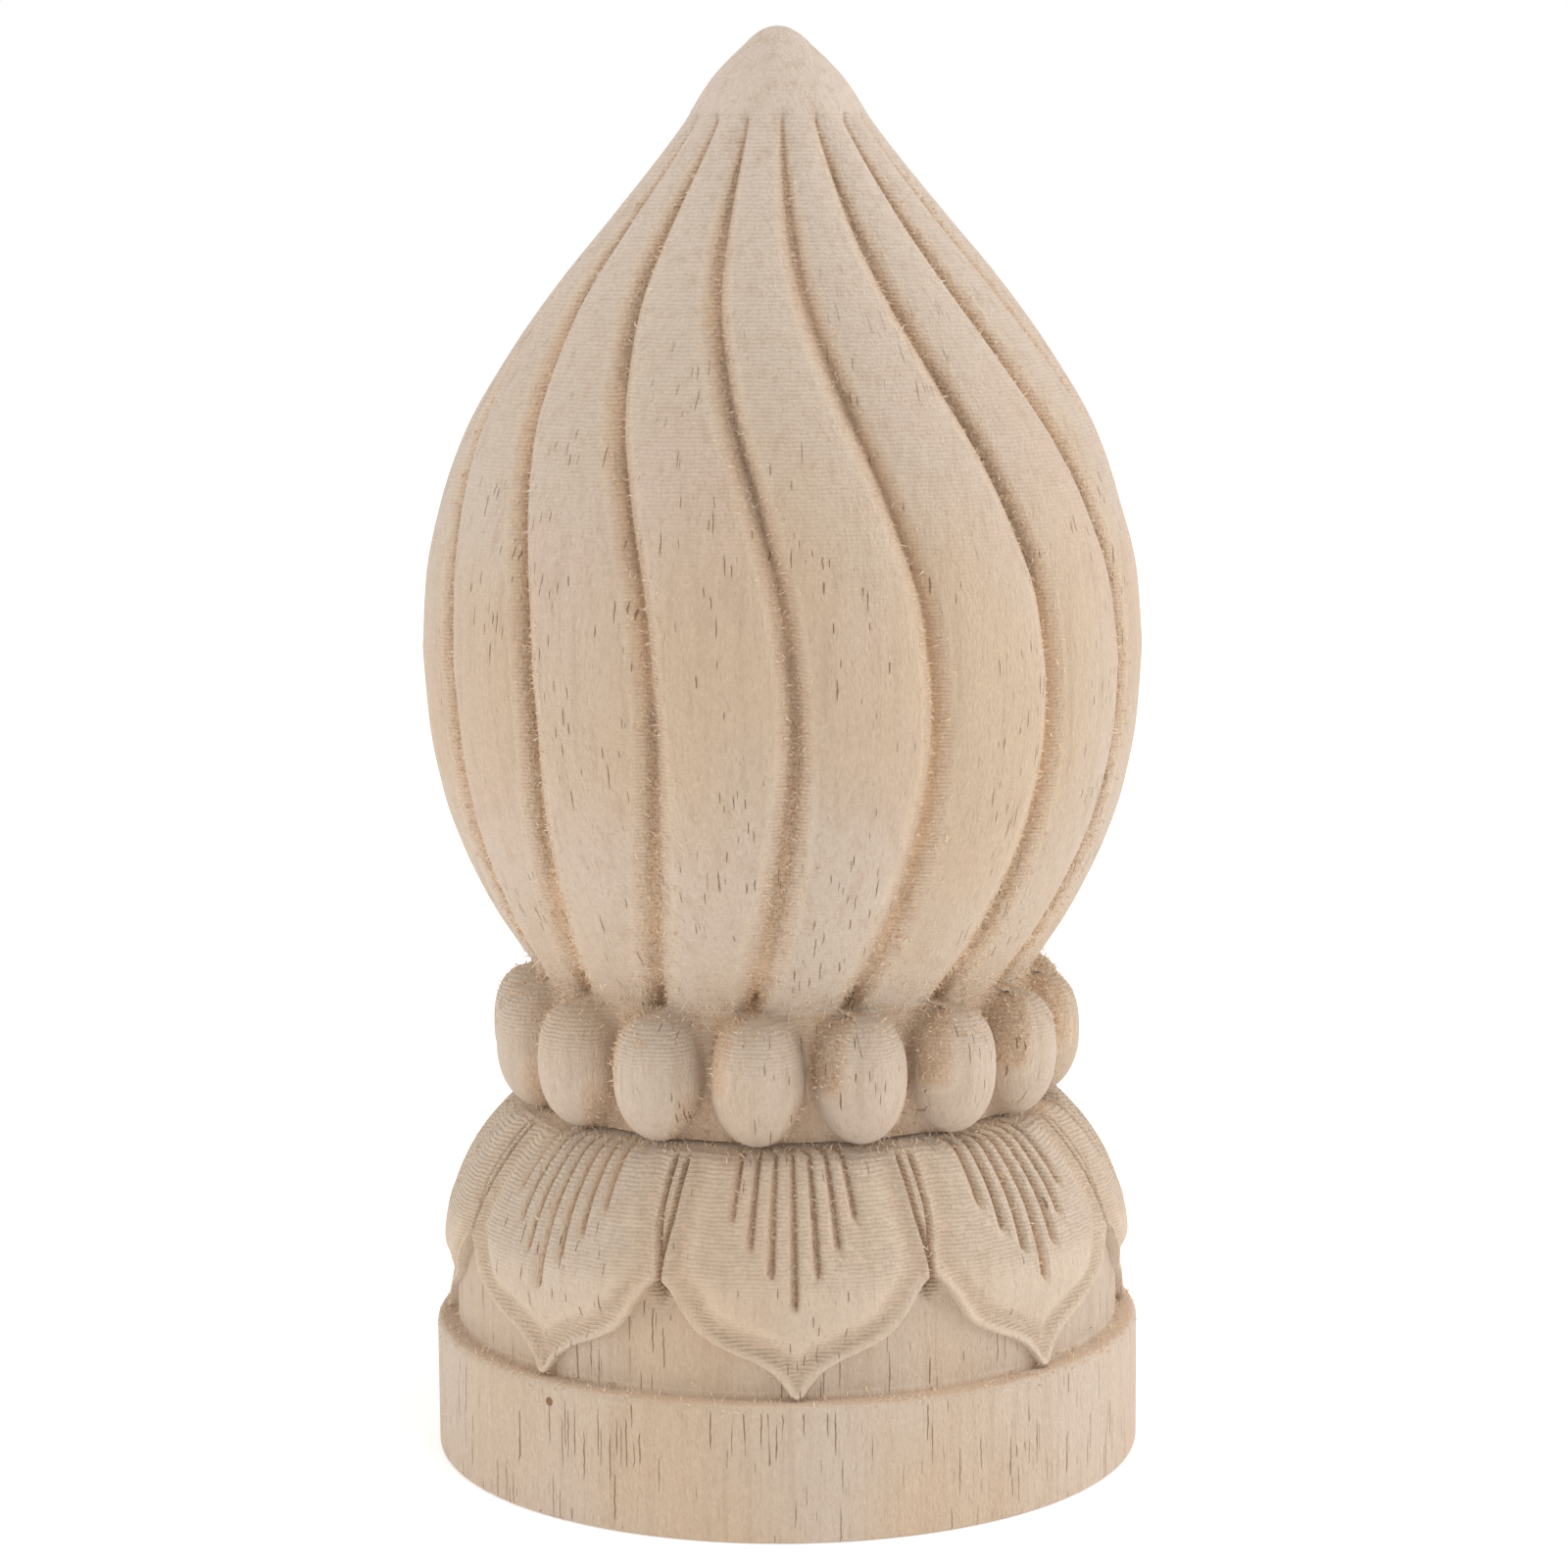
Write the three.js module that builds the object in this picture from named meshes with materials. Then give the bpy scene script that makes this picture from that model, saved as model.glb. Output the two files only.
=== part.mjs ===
// A turned and carved wooden ball finial, cut from one block: a round plinth, a cup of eight
// lotus petals, a ring of beads at the neck, and a tall pointed ball wrapped in S-curved lobes.
// Millimetres and degrees. The underside lies on z = 0, +Z points up to the tip, and -Y is the front.
// An angle around the axis is counted from the front, positive towards +X.

import * as THREE from "three";

// Plinth
const PLINTH_RADIUS = 40.1;
const PLINTH_HEIGHT = 15.2;
const PLINTH_TOP_ROUND = 1.0;
const PLINTH_FOOT_ROUND = 0.7;

// Cup of petals
const LEDGE_WIDTH = 2.4;
const CUP_HEIGHT = 25.3;
const PETAL_COUNT = 8;
const PETAL_TURN = 1.5;
const PETAL_RELIEF = 1.4;
const PETAL_SEAM_DEPTH = 1.1;
const PETAL_UNDERCUT = 0.35;
const RIM_WIDTH = 0.6;
const RIM_DROP = 0.3;
const RIM_GROOVE_AT = 1.7;
const RIM_GROOVE_DEPTH = 0.85;
const PETAL_SHOULDER_AT = 4.0;
const PETAL_FADE_SHARE = 0.9;

// Flutes cut into the upper half of each petal
const FLUTE_COUNT = 7;
const FLUTE_DEPTH = 0.65;
const FLUTE_MARGIN = 3.65;
const FLUTE_RUN_OUT = 2.5;

// Neck and its beads
const NECK_RADIUS = 27.6;
const BEAD_HEIGHT = 14.0;
const BEAD_DEPTH = 10.0;
const BEAD_GAP = 1.1;
const BEAD_SEAT = 0.9;
const BEAD_FOOT_GAP = 0.1;
const BEAD_TOP_GAP = 0.5;
const BEAD_TURN = -6.0;
const BEAD_FULLNESS_ABOVE = 2.6;
const BEAD_FULLNESS_BELOW = 2.05;

// Lobed ball; each lobe's valley ends over the middle of one bead
const LOBE_COUNT = 16;
const BALL_RADIUS = 40.4;
const BALL_HEIGHT = 104.9;
const BALL_FOOT_FLARE = 0.5;
const VALLEY_DEPTH = 2.4;
const VALLEY_WIDTH = 1.1;
const VALLEY_WIDEST_SHARE = 0.12;
const LOBE_CROWN = 0.35;

// Outline of the ball up to its belly: share of its height, share of the way out from its foot
const BELLY_SHARE = 0.351;
const BALL_LOWER_OUTLINE = [
  [0.000, 0.000], [0.025, 0.140], [0.064, 0.350], [0.102, 0.518], [0.140, 0.664], [0.197, 0.829],
  [0.274, 0.952], [BELLY_SHARE, 1.000],
];

// Outline above the belly: share of its height, share of its radius; the nose above it is round
const BALL_UPPER_OUTLINE = [
  [BELLY_SHARE, 1.000], [0.425, 0.986], [0.502, 0.942], [0.579, 0.868], [0.655, 0.753],
  [0.732, 0.612], [0.808, 0.450], [0.866, 0.327], [0.904, 0.252], [0.943, 0.186],
  [0.962, 0.142], [0.981, 0.090],
];

// Turn of the valleys: share of the ball's height, angle from where they end at the neck
const VALLEY_TURN = [
  [0.00, -1.8], [0.06, 2.0], [0.12, 4.8], [0.20, 6.9], [0.29, 8.0], [0.41, 6.6],
  [0.52, 2.1], [0.64, -5.0], [0.75, -11.1], [0.83, -13.2], [0.91, -14.0],
];

// Depth of the valleys: share of the ball's height, share of their full depth
const VALLEY_FADE = [
  [0.00, 0.55], [0.04, 0.75], [0.13, 0.93], [0.33, 1.00], [0.62, 1.00], [0.75, 0.92],
  [0.83, 0.70], [0.88, 0.42], [0.905, 0.22],
];
const VALLEY_TOP_SHARE = 0.905;

// Outline of the cup over the middle of a petal: share of its height, share of the way out
// from the neck to the petals' full radius
const CUP_OUTLINE = [
  [0.00, 1.00], [0.05, 0.98], [0.11, 0.966], [0.19, 0.953], [0.27, 0.967], [0.36, 1.00],
  [0.50, 0.958], [0.58, 0.898], [0.66, 0.829], [0.73, 0.752], [0.81, 0.640], [0.89, 0.495],
  [0.965, 0.315], [1.00, 0.06],
];

// Lower edge of a petal from its tip to the junction with the next one:
// share of half the petal's width, share of the cup's height
const PETAL_EDGE = [
  [0.00, 0.010], [0.03, 0.016], [0.09, 0.065], [0.17, 0.117], [0.29, 0.162], [0.47, 0.207],
  [0.64, 0.258], [0.72, 0.300], [0.79, 0.360], [0.86, 0.425], [0.91, 0.465], [0.96, 0.490],
  [1.00, 0.500],
];

// Where the flutes end, from the middle one outwards: share of the cup's height
const FLUTE_ENDS = [[0, 0.40], [1, 0.53], [2, 0.63], [3, 0.74]];
const FLUTE_FAN_SHARE = 0.88;
const FLUTE_STRAIGHT_SHARE = 0.5;

// How finely the surfaces are cut
const COLUMNS_ACROSS_LOBE = [0.000, 0.050, 0.150, 0.320, 0.500, 0.680, 0.850, 0.950];
const COLUMNS_ACROSS_BEAD = [0.00, 0.45, 0.80, 1.00];
const BALL_ROWS = 14;
const FIRST_ROW_SHARE = 0.02;
const BEAD_LEVELS = [-0.93, -0.68, -0.25, 0.25, 0.68, 0.93];
const PETAL_ROWS_ABOVE_RIM = [0.14, 0.36, 0.60, 0.84];
const TIP_SIDES = 40;
const TIP_LEVELS = [0.912, 0.938, 0.963, 0.984, 0.996];
const PLINTH_SIDES = 64;
const EDGE_STEPS = 24;

const CUP_BASE = PLINTH_HEIGHT;
const NECK_BASE = CUP_BASE + CUP_HEIGHT;
const NECK_HEIGHT = BEAD_FOOT_GAP + BEAD_HEIGHT + BEAD_TOP_GAP;
const BALL_BASE = NECK_BASE + NECK_HEIGHT;
const FINIAL_HEIGHT = BALL_BASE + BALL_HEIGHT;
const GROUND_RADIUS = PLINTH_RADIUS - LEDGE_WIDTH;
const PETAL_RADIUS = GROUND_RADIUS + PETAL_RELIEF;
const BEAD_RING_RADIUS = NECK_RADIUS + BEAD_SEAT;
const LOBE_ANGLE = 360 / LOBE_COUNT;
const PETAL_ANGLE = 360 / PETAL_COUNT;
const WOOD = { color: 0xd2b99f, roughness: 0.8, metalness: 0.0 };

const radians = (degrees) => (degrees * Math.PI) / 180;
const clamp01 = (value) => Math.min(1, Math.max(0, value));

function smoothstep(from, to, value) {
  const t = clamp01((value - from) / (to - from));
  return t * t * (3 - 2 * t);
}

// A smooth curve through hand-set points that never overshoots them.
function curveThrough(points) {
  const last = points.length - 1;
  const rises = [];
  for (let i = 0; i < last; i += 1) {
    rises.push((points[i + 1][1] - points[i][1]) / (points[i + 1][0] - points[i][0]));
  }
  const slopes = points.map((_, i) => {
    if (i === 0) return rises[0];
    if (i === last) return rises[last - 1];
    const [before, after] = [rises[i - 1], rises[i]];
    return before * after <= 0 ? 0 : (2 * before * after) / (before + after);
  });
  return (x) => {
    if (x <= points[0][0]) return points[0][1];
    if (x >= points[last][0]) return points[last][1];
    const i = points.findIndex((point) => point[0] >= x) - 1;
    const [from, to] = [points[i], points[i + 1]];
    const width = to[0] - from[0];
    const t = (x - from[0]) / width;
    const hermite = t * t * (3 - 2 * t);
    const bend = t * (1 - t) * width * ((1 - t) * slopes[i] - t * slopes[i + 1]);
    return from[1] * (1 - hermite) + to[1] * hermite + bend;
  };
}

const ballLowerOutline = curveThrough(BALL_LOWER_OUTLINE);
const ballUpperOutline = curveThrough(BALL_UPPER_OUTLINE);
const valleyTurn = curveThrough(VALLEY_TURN);
const valleyFade = curveThrough(VALLEY_FADE);
const cupOutline = curveThrough(CUP_OUTLINE);
const petalEdge = curveThrough(PETAL_EDGE);
const fluteEnd = curveThrough(FLUTE_ENDS);

// The ball's foot stands a little proud of the neck, and its nose is a rounded cap.
const ballShare = (z) => (z - BALL_BASE) / BALL_HEIGHT;
const [NOSE_SHARE, NOSE_RADIUS_SHARE] = BALL_UPPER_OUTLINE[BALL_UPPER_OUTLINE.length - 1];

function ballRadius(z) {
  const share = ballShare(z);
  const foot = NECK_RADIUS + BALL_FOOT_FLARE;
  if (share <= BELLY_SHARE) return foot + (BALL_RADIUS - foot) * ballLowerOutline(share);
  if (share <= NOSE_SHARE) return BALL_RADIUS * ballUpperOutline(share);
  return BALL_RADIUS * NOSE_RADIUS_SHARE * Math.sqrt(clamp01((1 - share) / (1 - NOSE_SHARE)));
}

// How far the wood is cut back at a place across a lobe: 0 and 1 are its valleys.
function lobeCut(across, z) {
  const lobeWidth = radians(LOBE_ANGLE) * ballRadius(z);
  const fromValley = Math.min(across, 1 - across) * lobeWidth;
  const width = Math.min(VALLEY_WIDTH, VALLEY_WIDEST_SHARE * lobeWidth);
  const crown = LOBE_CROWN * (2 * across - 1) ** 2;
  const depth = VALLEY_DEPTH * valleyFade(ballShare(z));
  return (depth - LOBE_CROWN) * Math.exp(-fromValley / width) + crown;
}

// A bead is seated in the neck, fuller above its middle than below. At a height above its middle, as a
// share of half its own, its section is an ellipse, seen from the axis within some angle to each side.
function beadSection(level) {
  const fullness = level > 0 ? BEAD_FULLNESS_ABOVE : BEAD_FULLNESS_BELOW;
  const shrink = (1 - Math.abs(level) ** fullness) ** (1 / fullness);
  const halfWidth = ((BEAD_RING_RADIUS * radians(LOBE_ANGLE) - BEAD_GAP) / 2) * shrink;
  const halfDepth = (BEAD_DEPTH / 2) * shrink;
  const reach = Math.atan(halfWidth / Math.sqrt(BEAD_RING_RADIUS ** 2 - halfDepth ** 2));
  return { halfWidth, halfDepth, reach: (reach * 180) / Math.PI };
}

function beadRadius({ halfWidth, halfDepth }, offset) {
  const side = Math.sin(radians(offset)) / halfWidth;
  const out = Math.cos(radians(offset)) / halfDepth;
  const ringRadius = BEAD_RING_RADIUS / halfDepth;
  const a = side * side + out * out;
  const b = out * ringRadius;
  const c = ringRadius * ringRadius - 1;
  return (b + Math.sqrt(Math.max(0, b * b - a * c))) / a;
}

// The petal's edge as points, with x the distance round the cup and y the height above the ledge.
const PETAL_HALF_WIDTH = radians(PETAL_ANGLE / 2) * PETAL_RADIUS;
const edgePoints = Array.from({ length: EDGE_STEPS + 1 }, (_, i) => {
  const share = i / EDGE_STEPS;
  return new THREE.Vector2(share * PETAL_HALF_WIDTH, petalEdge(share) * CUP_HEIGHT);
});

function distanceToEdge(point) {
  let nearest = Infinity;
  for (let i = 0; i < EDGE_STEPS; i += 1) {
    const along = edgePoints[i + 1].clone().sub(edgePoints[i]);
    const offset = point.clone().sub(edgePoints[i]);
    const t = clamp01(offset.dot(along) / along.lengthSq());
    nearest = Math.min(nearest, offset.sub(along.multiplyScalar(t)).length());
  }
  return nearest;
}

// Relief of a petal against the cup's outline: a rim, a groove inside it, then the full cheek.
function petalCut(fromEdge, fromSeam) {
  const inward = Math.min(fromEdge, fromSeam);
  const seam = PETAL_SEAM_DEPTH * Math.exp(-fromSeam / (RIM_WIDTH / 2));
  const rim = RIM_DROP + (RIM_GROOVE_DEPTH - RIM_DROP) * smoothstep(RIM_WIDTH, RIM_GROOVE_AT, inward);
  const cheek = 1 - smoothstep(RIM_GROOVE_AT, PETAL_SHOULDER_AT, inward);
  return seam + rim * cheek;
}

// The flutes fan out downwards from the neck and run straight below a share of the cup's height.
const sideAngle = (inward) => (PETAL_ANGLE / 2) * (1 - inward / PETAL_HALF_WIDTH);
const FLUTE_PITCH = (2 * sideAngle(PETAL_SHOULDER_AT + FLUTE_MARGIN)) / (FLUTE_COUNT - 1);
const fluteSpread = (height) => {
  const below = clamp01((1 - height / CUP_HEIGHT) / (1 - FLUTE_STRAIGHT_SHARE));
  return FLUTE_FAN_SHARE + (1 - FLUTE_FAN_SHARE) * below;
};

function fluteCut(offset, height) {
  const place = offset / (FLUTE_PITCH * fluteSpread(height));
  const number = Math.round(place);
  if (Math.abs(number) > (FLUTE_COUNT - 1) / 2) return 0;
  const end = fluteEnd(Math.abs(number)) * CUP_HEIGHT;
  const across = clamp01(1 - 2 * Math.abs(place - number));
  return FLUTE_DEPTH * across * smoothstep(end, end + FLUTE_RUN_OUT, height);
}

function petalSurface(offset, height) {
  const outline = NECK_RADIUS + (PETAL_RADIUS - NECK_RADIUS) * cupOutline(height / CUP_HEIGHT);
  const fromEdge = distanceToEdge(new THREE.Vector2(Math.abs(radians(offset)) * PETAL_RADIUS, height));
  const fromSeam = radians(PETAL_ANGLE / 2 - Math.abs(offset)) * outline;
  const fade = 1 - smoothstep(PETAL_FADE_SHARE, 1, height / CUP_HEIGHT);
  const cut = petalCut(fromEdge, fromSeam) * fade + fluteCut(offset, height);
  return Math.max(outline - cut, NECK_RADIUS);
}

// A ring is a list of points around the axis, each with its angle, radius and height.
const ring = (count, place) => Array.from({ length: count }, (_, i) => place(i));
const circle = (count, radius, z) => ring(count, (i) => ({ angle: (360 * i) / count, radius, z }));

function plinthRings() {
  const footInset = PLINTH_RADIUS - PLINTH_FOOT_ROUND;
  const topInset = PLINTH_RADIUS - PLINTH_TOP_ROUND;
  const bevel = PLINTH_TOP_ROUND * (1 - Math.SQRT1_2);
  return [
    circle(PLINTH_SIDES, footInset, 0),
    circle(PLINTH_SIDES, PLINTH_RADIUS, PLINTH_FOOT_ROUND),
    circle(PLINTH_SIDES, PLINTH_RADIUS, PLINTH_HEIGHT - PLINTH_TOP_ROUND),
    circle(PLINTH_SIDES, PLINTH_RADIUS - bevel, PLINTH_HEIGHT - bevel),
    circle(PLINTH_SIDES, topInset, PLINTH_HEIGHT),
  ];
}

// Columns across one petal: its seam, its rim, groove and cheek, and both sides of every flute.
function petalColumns() {
  const flutes = Array.from({ length: FLUTE_COUNT - 1 }, (_, i) => ((i + 1) * FLUTE_PITCH) / 2);
  const sides = [PETAL_SHOULDER_AT, RIM_GROOVE_AT, RIM_WIDTH].map(sideAngle);
  const right = [
    ...flutes.map((offset) => ({ offset, fans: true })),
    ...sides.map((offset) => ({ offset, fans: false })),
  ];
  const left = right.map(({ offset, fans }) => ({ offset: -offset, fans })).reverse();
  const seam = { offset: -PETAL_ANGLE / 2, fans: false };
  return [seam, ...left, { offset: 0, fans: false }, ...right];
}

function petalRings() {
  const columns = petalColumns();
  const edgeHeight = (offset) => petalEdge(Math.abs(offset) / (PETAL_ANGLE / 2)) * CUP_HEIGHT;
  const around = (place) =>
    ring(PETAL_COUNT * columns.length, (i) => {
      const { offset, fans } = columns[i % columns.length];
      const middle = PETAL_TURN + PETAL_ANGLE * Math.floor(i / columns.length);
      const { height, radius } = place(offset);
      const spread = fans ? fluteSpread(height) : 1;
      const skin = radius ?? petalSurface(offset * spread, height);
      return { angle: middle + offset * spread, radius: skin, z: CUP_BASE + height };
    });
  const undercut = 1 - PETAL_UNDERCUT / CUP_HEIGHT;
  const ground = [
    around(() => ({ height: 0, radius: GROUND_RADIUS })),
    around((offset) => ({ height: edgeHeight(offset) * undercut, radius: GROUND_RADIUS })),
  ];
  const rims = [0, RIM_WIDTH, RIM_GROOVE_AT, PETAL_SHOULDER_AT].map((inward) =>
    around((offset) => ({ height: edgeHeight(offset) + inward })),
  );
  const cheeks = PETAL_ROWS_ABOVE_RIM.map((share) =>
    around((offset) => {
      const from = edgeHeight(offset) + PETAL_SHOULDER_AT;
      return { height: from + (CUP_HEIGHT - from) * share };
    }),
  );
  return [...ground, ...rims, ...cheeks];
}

// Places across a lobe run from valley to valley; a bead's middle lies under each valley.
function lobeRing(columns, turn, z, radiusAt) {
  return ring(LOBE_COUNT * columns.length, (i) => {
    const across = columns[i % columns.length];
    const angle = turn + LOBE_ANGLE * (Math.floor(i / columns.length) + across);
    return { angle, radius: radiusAt(across), z };
  });
}

// Bead columns close in with the bead's own width, and one runs down the gap between two beads.
function beadRing(reach, z, radiusAt) {
  const right = COLUMNS_ACROSS_BEAD.map((share) => (share * reach) / LOBE_ANGLE);
  const left = right.slice(1).map((across) => 1 - across).reverse();
  const columns = [...right, 0.5, ...left];
  return lobeRing(columns, BEAD_TURN, z, (across) => {
    return across === 0.5 ? NECK_RADIUS : radiusAt(LOBE_ANGLE * (across > 0.5 ? across - 1 : across));
  });
}

function beadRings() {
  const middle = NECK_BASE + BEAD_FOOT_GAP + BEAD_HEIGHT / 2;
  const endReach = beadSection(BEAD_LEVELS[0]).reach;
  const beads = BEAD_LEVELS.map((level) => {
    const section = beadSection(level);
    const skin = (offset) => Math.max(beadRadius(section, offset), NECK_RADIUS);
    return beadRing(section.reach, middle + (level * BEAD_HEIGHT) / 2, skin);
  });
  return [
    beadRing(endReach, NECK_BASE, () => NECK_RADIUS),
    ...beads,
    beadRing(endReach, BALL_BASE, () => NECK_RADIUS),
  ];
}

function ballRings() {
  return Array.from({ length: BALL_ROWS }, (_, row) => {
    const share = FIRST_ROW_SHARE + ((VALLEY_TOP_SHARE - FIRST_ROW_SHARE) * row) / (BALL_ROWS - 1);
    const z = BALL_BASE + share * BALL_HEIGHT;
    const turn = BEAD_TURN + valleyTurn(share);
    return lobeRing(COLUMNS_ACROSS_LOBE, turn, z, (across) => ballRadius(z) - lobeCut(across, z));
  });
}

function tipRings() {
  return TIP_LEVELS.map((share) => {
    const z = BALL_BASE + share * BALL_HEIGHT;
    return circle(TIP_SIDES, ballRadius(z), z);
  });
}

// Two rings of one band are joined column by column, others by the angles of their points.
function joinRings(lower, upper, firstLower, firstUpper, faces) {
  const [below, above] = [lower.length, upper.length];
  if (below === above) {
    for (let i = 0; i < below; i += 1) {
      const next = (i + 1) % below;
      faces.push(firstLower + i, firstLower + next, firstUpper + i);
      faces.push(firstLower + next, firstUpper + next, firstUpper + i);
    }
    return;
  }
  const turn = (angle) => ((((angle - lower[0].angle + 180) % 360) + 360) % 360) - 180;
  let start = 0;
  upper.forEach((point, i) => {
    if (Math.abs(turn(point.angle)) < Math.abs(turn(upper[start].angle))) start = i;
  });
  const lowerAt = (i) => lower[i % below].angle - lower[0].angle + 360 * Math.floor(i / below);
  const startTurn = turn(upper[start].angle);
  const upperAt = (i) => {
    const k = start + i;
    return upper[k % above].angle - upper[start].angle + 360 * Math.floor(k / above) + startTurn;
  };
  let [i, k] = [0, 0];
  while (i < below || k < above) {
    const a = firstLower + (i % below);
    const b = firstUpper + ((start + k) % above);
    if (k >= above || (i < below && lowerAt(i + 1) <= upperAt(k + 1))) {
      faces.push(a, firstLower + ((i + 1) % below), b);
      i += 1;
    } else {
      faces.push(a, firstUpper + ((start + k + 1) % above), b);
      k += 1;
    }
  }
}

// One closed skin from the flat underside, ring by ring, to the point at the tip.
function skinGeometry(rings, topZ) {
  const positions = [0, 0, 0];
  const firsts = [];
  rings.forEach((points) => {
    firsts.push(positions.length / 3);
    points.forEach(({ angle, radius, z }) => {
      positions.push(radius * Math.sin(radians(angle)), -radius * Math.cos(radians(angle)), z);
    });
  });
  const tip = positions.length / 3;
  positions.push(0, 0, topZ);

  const faces = [];
  const bottom = rings[0];
  bottom.forEach((_, i) => faces.push(0, firsts[0] + ((i + 1) % bottom.length), firsts[0] + i));
  for (let r = 0; r + 1 < rings.length; r += 1) {
    joinRings(rings[r], rings[r + 1], firsts[r], firsts[r + 1], faces);
  }
  const top = rings[rings.length - 1];
  const firstTop = firsts[firsts.length - 1];
  top.forEach((_, i) => faces.push(firstTop + i, firstTop + ((i + 1) % top.length), tip));

  const geometry = new THREE.BufferGeometry();
  geometry.setAttribute("position", new THREE.Float32BufferAttribute(positions, 3));
  geometry.setIndex(faces);
  geometry.computeVertexNormals();
  return geometry;
}

function makeFinial() {
  const rings = [...plinthRings(), ...petalRings(), ...beadRings(), ...ballRings(), ...tipRings()];
  const geometry = skinGeometry(rings, FINIAL_HEIGHT);
  const finial = new THREE.Mesh(geometry, new THREE.MeshStandardMaterial(WOOD));
  finial.name = "ball_finial";
  return finial;
}

const group = new THREE.Group();
group.add(makeFinial());

export default group;
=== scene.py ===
"""Looks of a ball finial carved from one block of pale hardwood, left raw from the tool.

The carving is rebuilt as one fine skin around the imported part: plinth, petal cup, beads and lobed ball.
Sizes are in millimetres and degrees, as on a drawing, and are turned into metres when a mesh is made.
Only the lamps, the floor and the camera are placed in metres.
An angle is counted round the axis from the front, which faces -Y, and is positive towards +X.
"""
import math

import bpy
import numpy as np
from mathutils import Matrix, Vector


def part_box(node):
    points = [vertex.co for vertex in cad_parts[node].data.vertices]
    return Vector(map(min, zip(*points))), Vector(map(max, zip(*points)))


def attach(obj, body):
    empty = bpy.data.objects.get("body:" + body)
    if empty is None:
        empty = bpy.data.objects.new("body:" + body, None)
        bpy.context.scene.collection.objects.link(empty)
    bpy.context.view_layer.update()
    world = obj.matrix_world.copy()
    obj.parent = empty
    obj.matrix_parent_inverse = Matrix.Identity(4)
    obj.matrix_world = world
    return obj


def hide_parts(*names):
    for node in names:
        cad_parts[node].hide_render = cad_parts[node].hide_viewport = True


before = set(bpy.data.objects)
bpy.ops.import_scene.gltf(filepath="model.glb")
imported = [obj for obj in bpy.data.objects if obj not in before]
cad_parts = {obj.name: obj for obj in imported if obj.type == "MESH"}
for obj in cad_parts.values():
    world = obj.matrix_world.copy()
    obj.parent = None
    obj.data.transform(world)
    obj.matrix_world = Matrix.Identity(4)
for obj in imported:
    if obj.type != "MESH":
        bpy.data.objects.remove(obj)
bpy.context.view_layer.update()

MM = 0.001
NODE = "ball_finial"

# Plinth
LOW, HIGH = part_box(NODE)
FINIAL_HEIGHT = (HIGH.z - LOW.z) / MM
PLINTH_RADIUS = 40.1
PLINTH_HEIGHT = 15.2
PLINTH_TOP_ROUND = 0.9
PLINTH_FOOT_ROUND = 0.6
LEDGE_GAP = 0.35

# Cup of petals
GROUND_RADIUS = 37.7
CUP_HEIGHT = 25.3
PETAL_RADIUS = 39.1
PETAL_COUNT = 8
PETAL_TURN = 1.5
PETAL_SEAM_DEPTH = 1.1
PETAL_SEAM_WIDTH = 0.60
PETAL_RIB_HALF_WIDTH = 0.70
PETAL_UNDERCUT = 0.30
PETAL_SHOULDER_AT = 4.0
PETAL_RIB_FADE = (0.52, 0.80)
PETAL_CARVING_FADE = (0.93, 1)
HOLLOW_DEPTH = 2.4
HOLLOW_WIDTH = 1.5
HOLLOW_HEIGHT = 4.5
POCKET_DEPTH = 2.0
POCKET_WIDTH = 0.75

# Flutes in the petals
FLUTE_COUNT = 7
FLUTE_DEPTH = 1.0
FLUTE_LONG_FLANK = 0.42
FLUTE_SHORT_FLANK = 0.20
FLUTE_MARGIN = 3.65
FLUTE_RUN_OUT = 0.9
FLUTE_FAN = 0.88

# Neck and beads
NECK_RADIUS = 27.6
NECK_CREASE = 0.4
BEAD_HEIGHT = 14.0
BEAD_DEPTH = 10.0
BEAD_GAP = 1.1
BEAD_SEAT = 0.9
BEAD_FOOT_GAP = 0.1
BEAD_TOP_GAP = 0.5
BEAD_TURN = -6.0
BEAD_FULLNESS_ABOVE = 2.6
BEAD_FULLNESS_BELOW = 2.05

# Lobed ball
LOBE_COUNT = 16
BALL_RADIUS = 40.4
BALL_FOOT_FLARE = 0.5
VALLEY_DEPTH = 2.4
NARROW_LOBE = 8.5
LOBE_CROWN = 0.35
FOOT_WIDENING = 0.9
FOOT_SHARE = 0.34
PIT_DEPTH = 1.7
PIT_WIDTH = 1.0
PIT_RISE = 1.4
PIT_HEIGHT = 1.6

# Levels
NECK_HEIGHT = BEAD_FOOT_GAP + BEAD_HEIGHT + BEAD_TOP_GAP
NECK_BASE = PLINTH_HEIGHT + CUP_HEIGHT
BALL_BASE = NECK_BASE + NECK_HEIGHT
BALL_HEIGHT = FINIAL_HEIGHT - BALL_BASE
BEAD_RING_RADIUS = NECK_RADIUS + BEAD_SEAT
LOBE_ANGLE = 360 / LOBE_COUNT
PETAL_ANGLE = 360 / PETAL_COUNT
PETAL_HALF_WIDTH = math.radians(PETAL_ANGLE / 2) * PETAL_RADIUS

# Outlines, as in the part: shares of a height against shares of a radius, a turn or a depth
BELLY = 0.351
BALL_LOWER_OUTLINE = [
    (0.000, 0.000), (0.025, 0.140), (0.064, 0.350), (0.102, 0.518), (0.140, 0.664),
    (0.197, 0.829), (0.274, 0.952), (BELLY, 1.000),
]
BALL_UPPER_OUTLINE = [
    (BELLY, 1.000), (0.425, 0.986), (0.502, 0.942), (0.579, 0.868), (0.655, 0.753),
    (0.732, 0.612), (0.808, 0.450), (0.866, 0.327), (0.904, 0.252), (0.943, 0.186),
    (0.962, 0.142), (0.981, 0.090),
]
VALLEY_TURN = [
    (0.00, -1.8), (0.06, 2.0), (0.12, 4.8), (0.20, 6.9), (0.29, 8.0), (0.41, 6.6),
    (0.52, 2.1), (0.64, -5.0), (0.75, -11.1), (0.83, -13.2), (0.91, -14.0),
]
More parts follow.
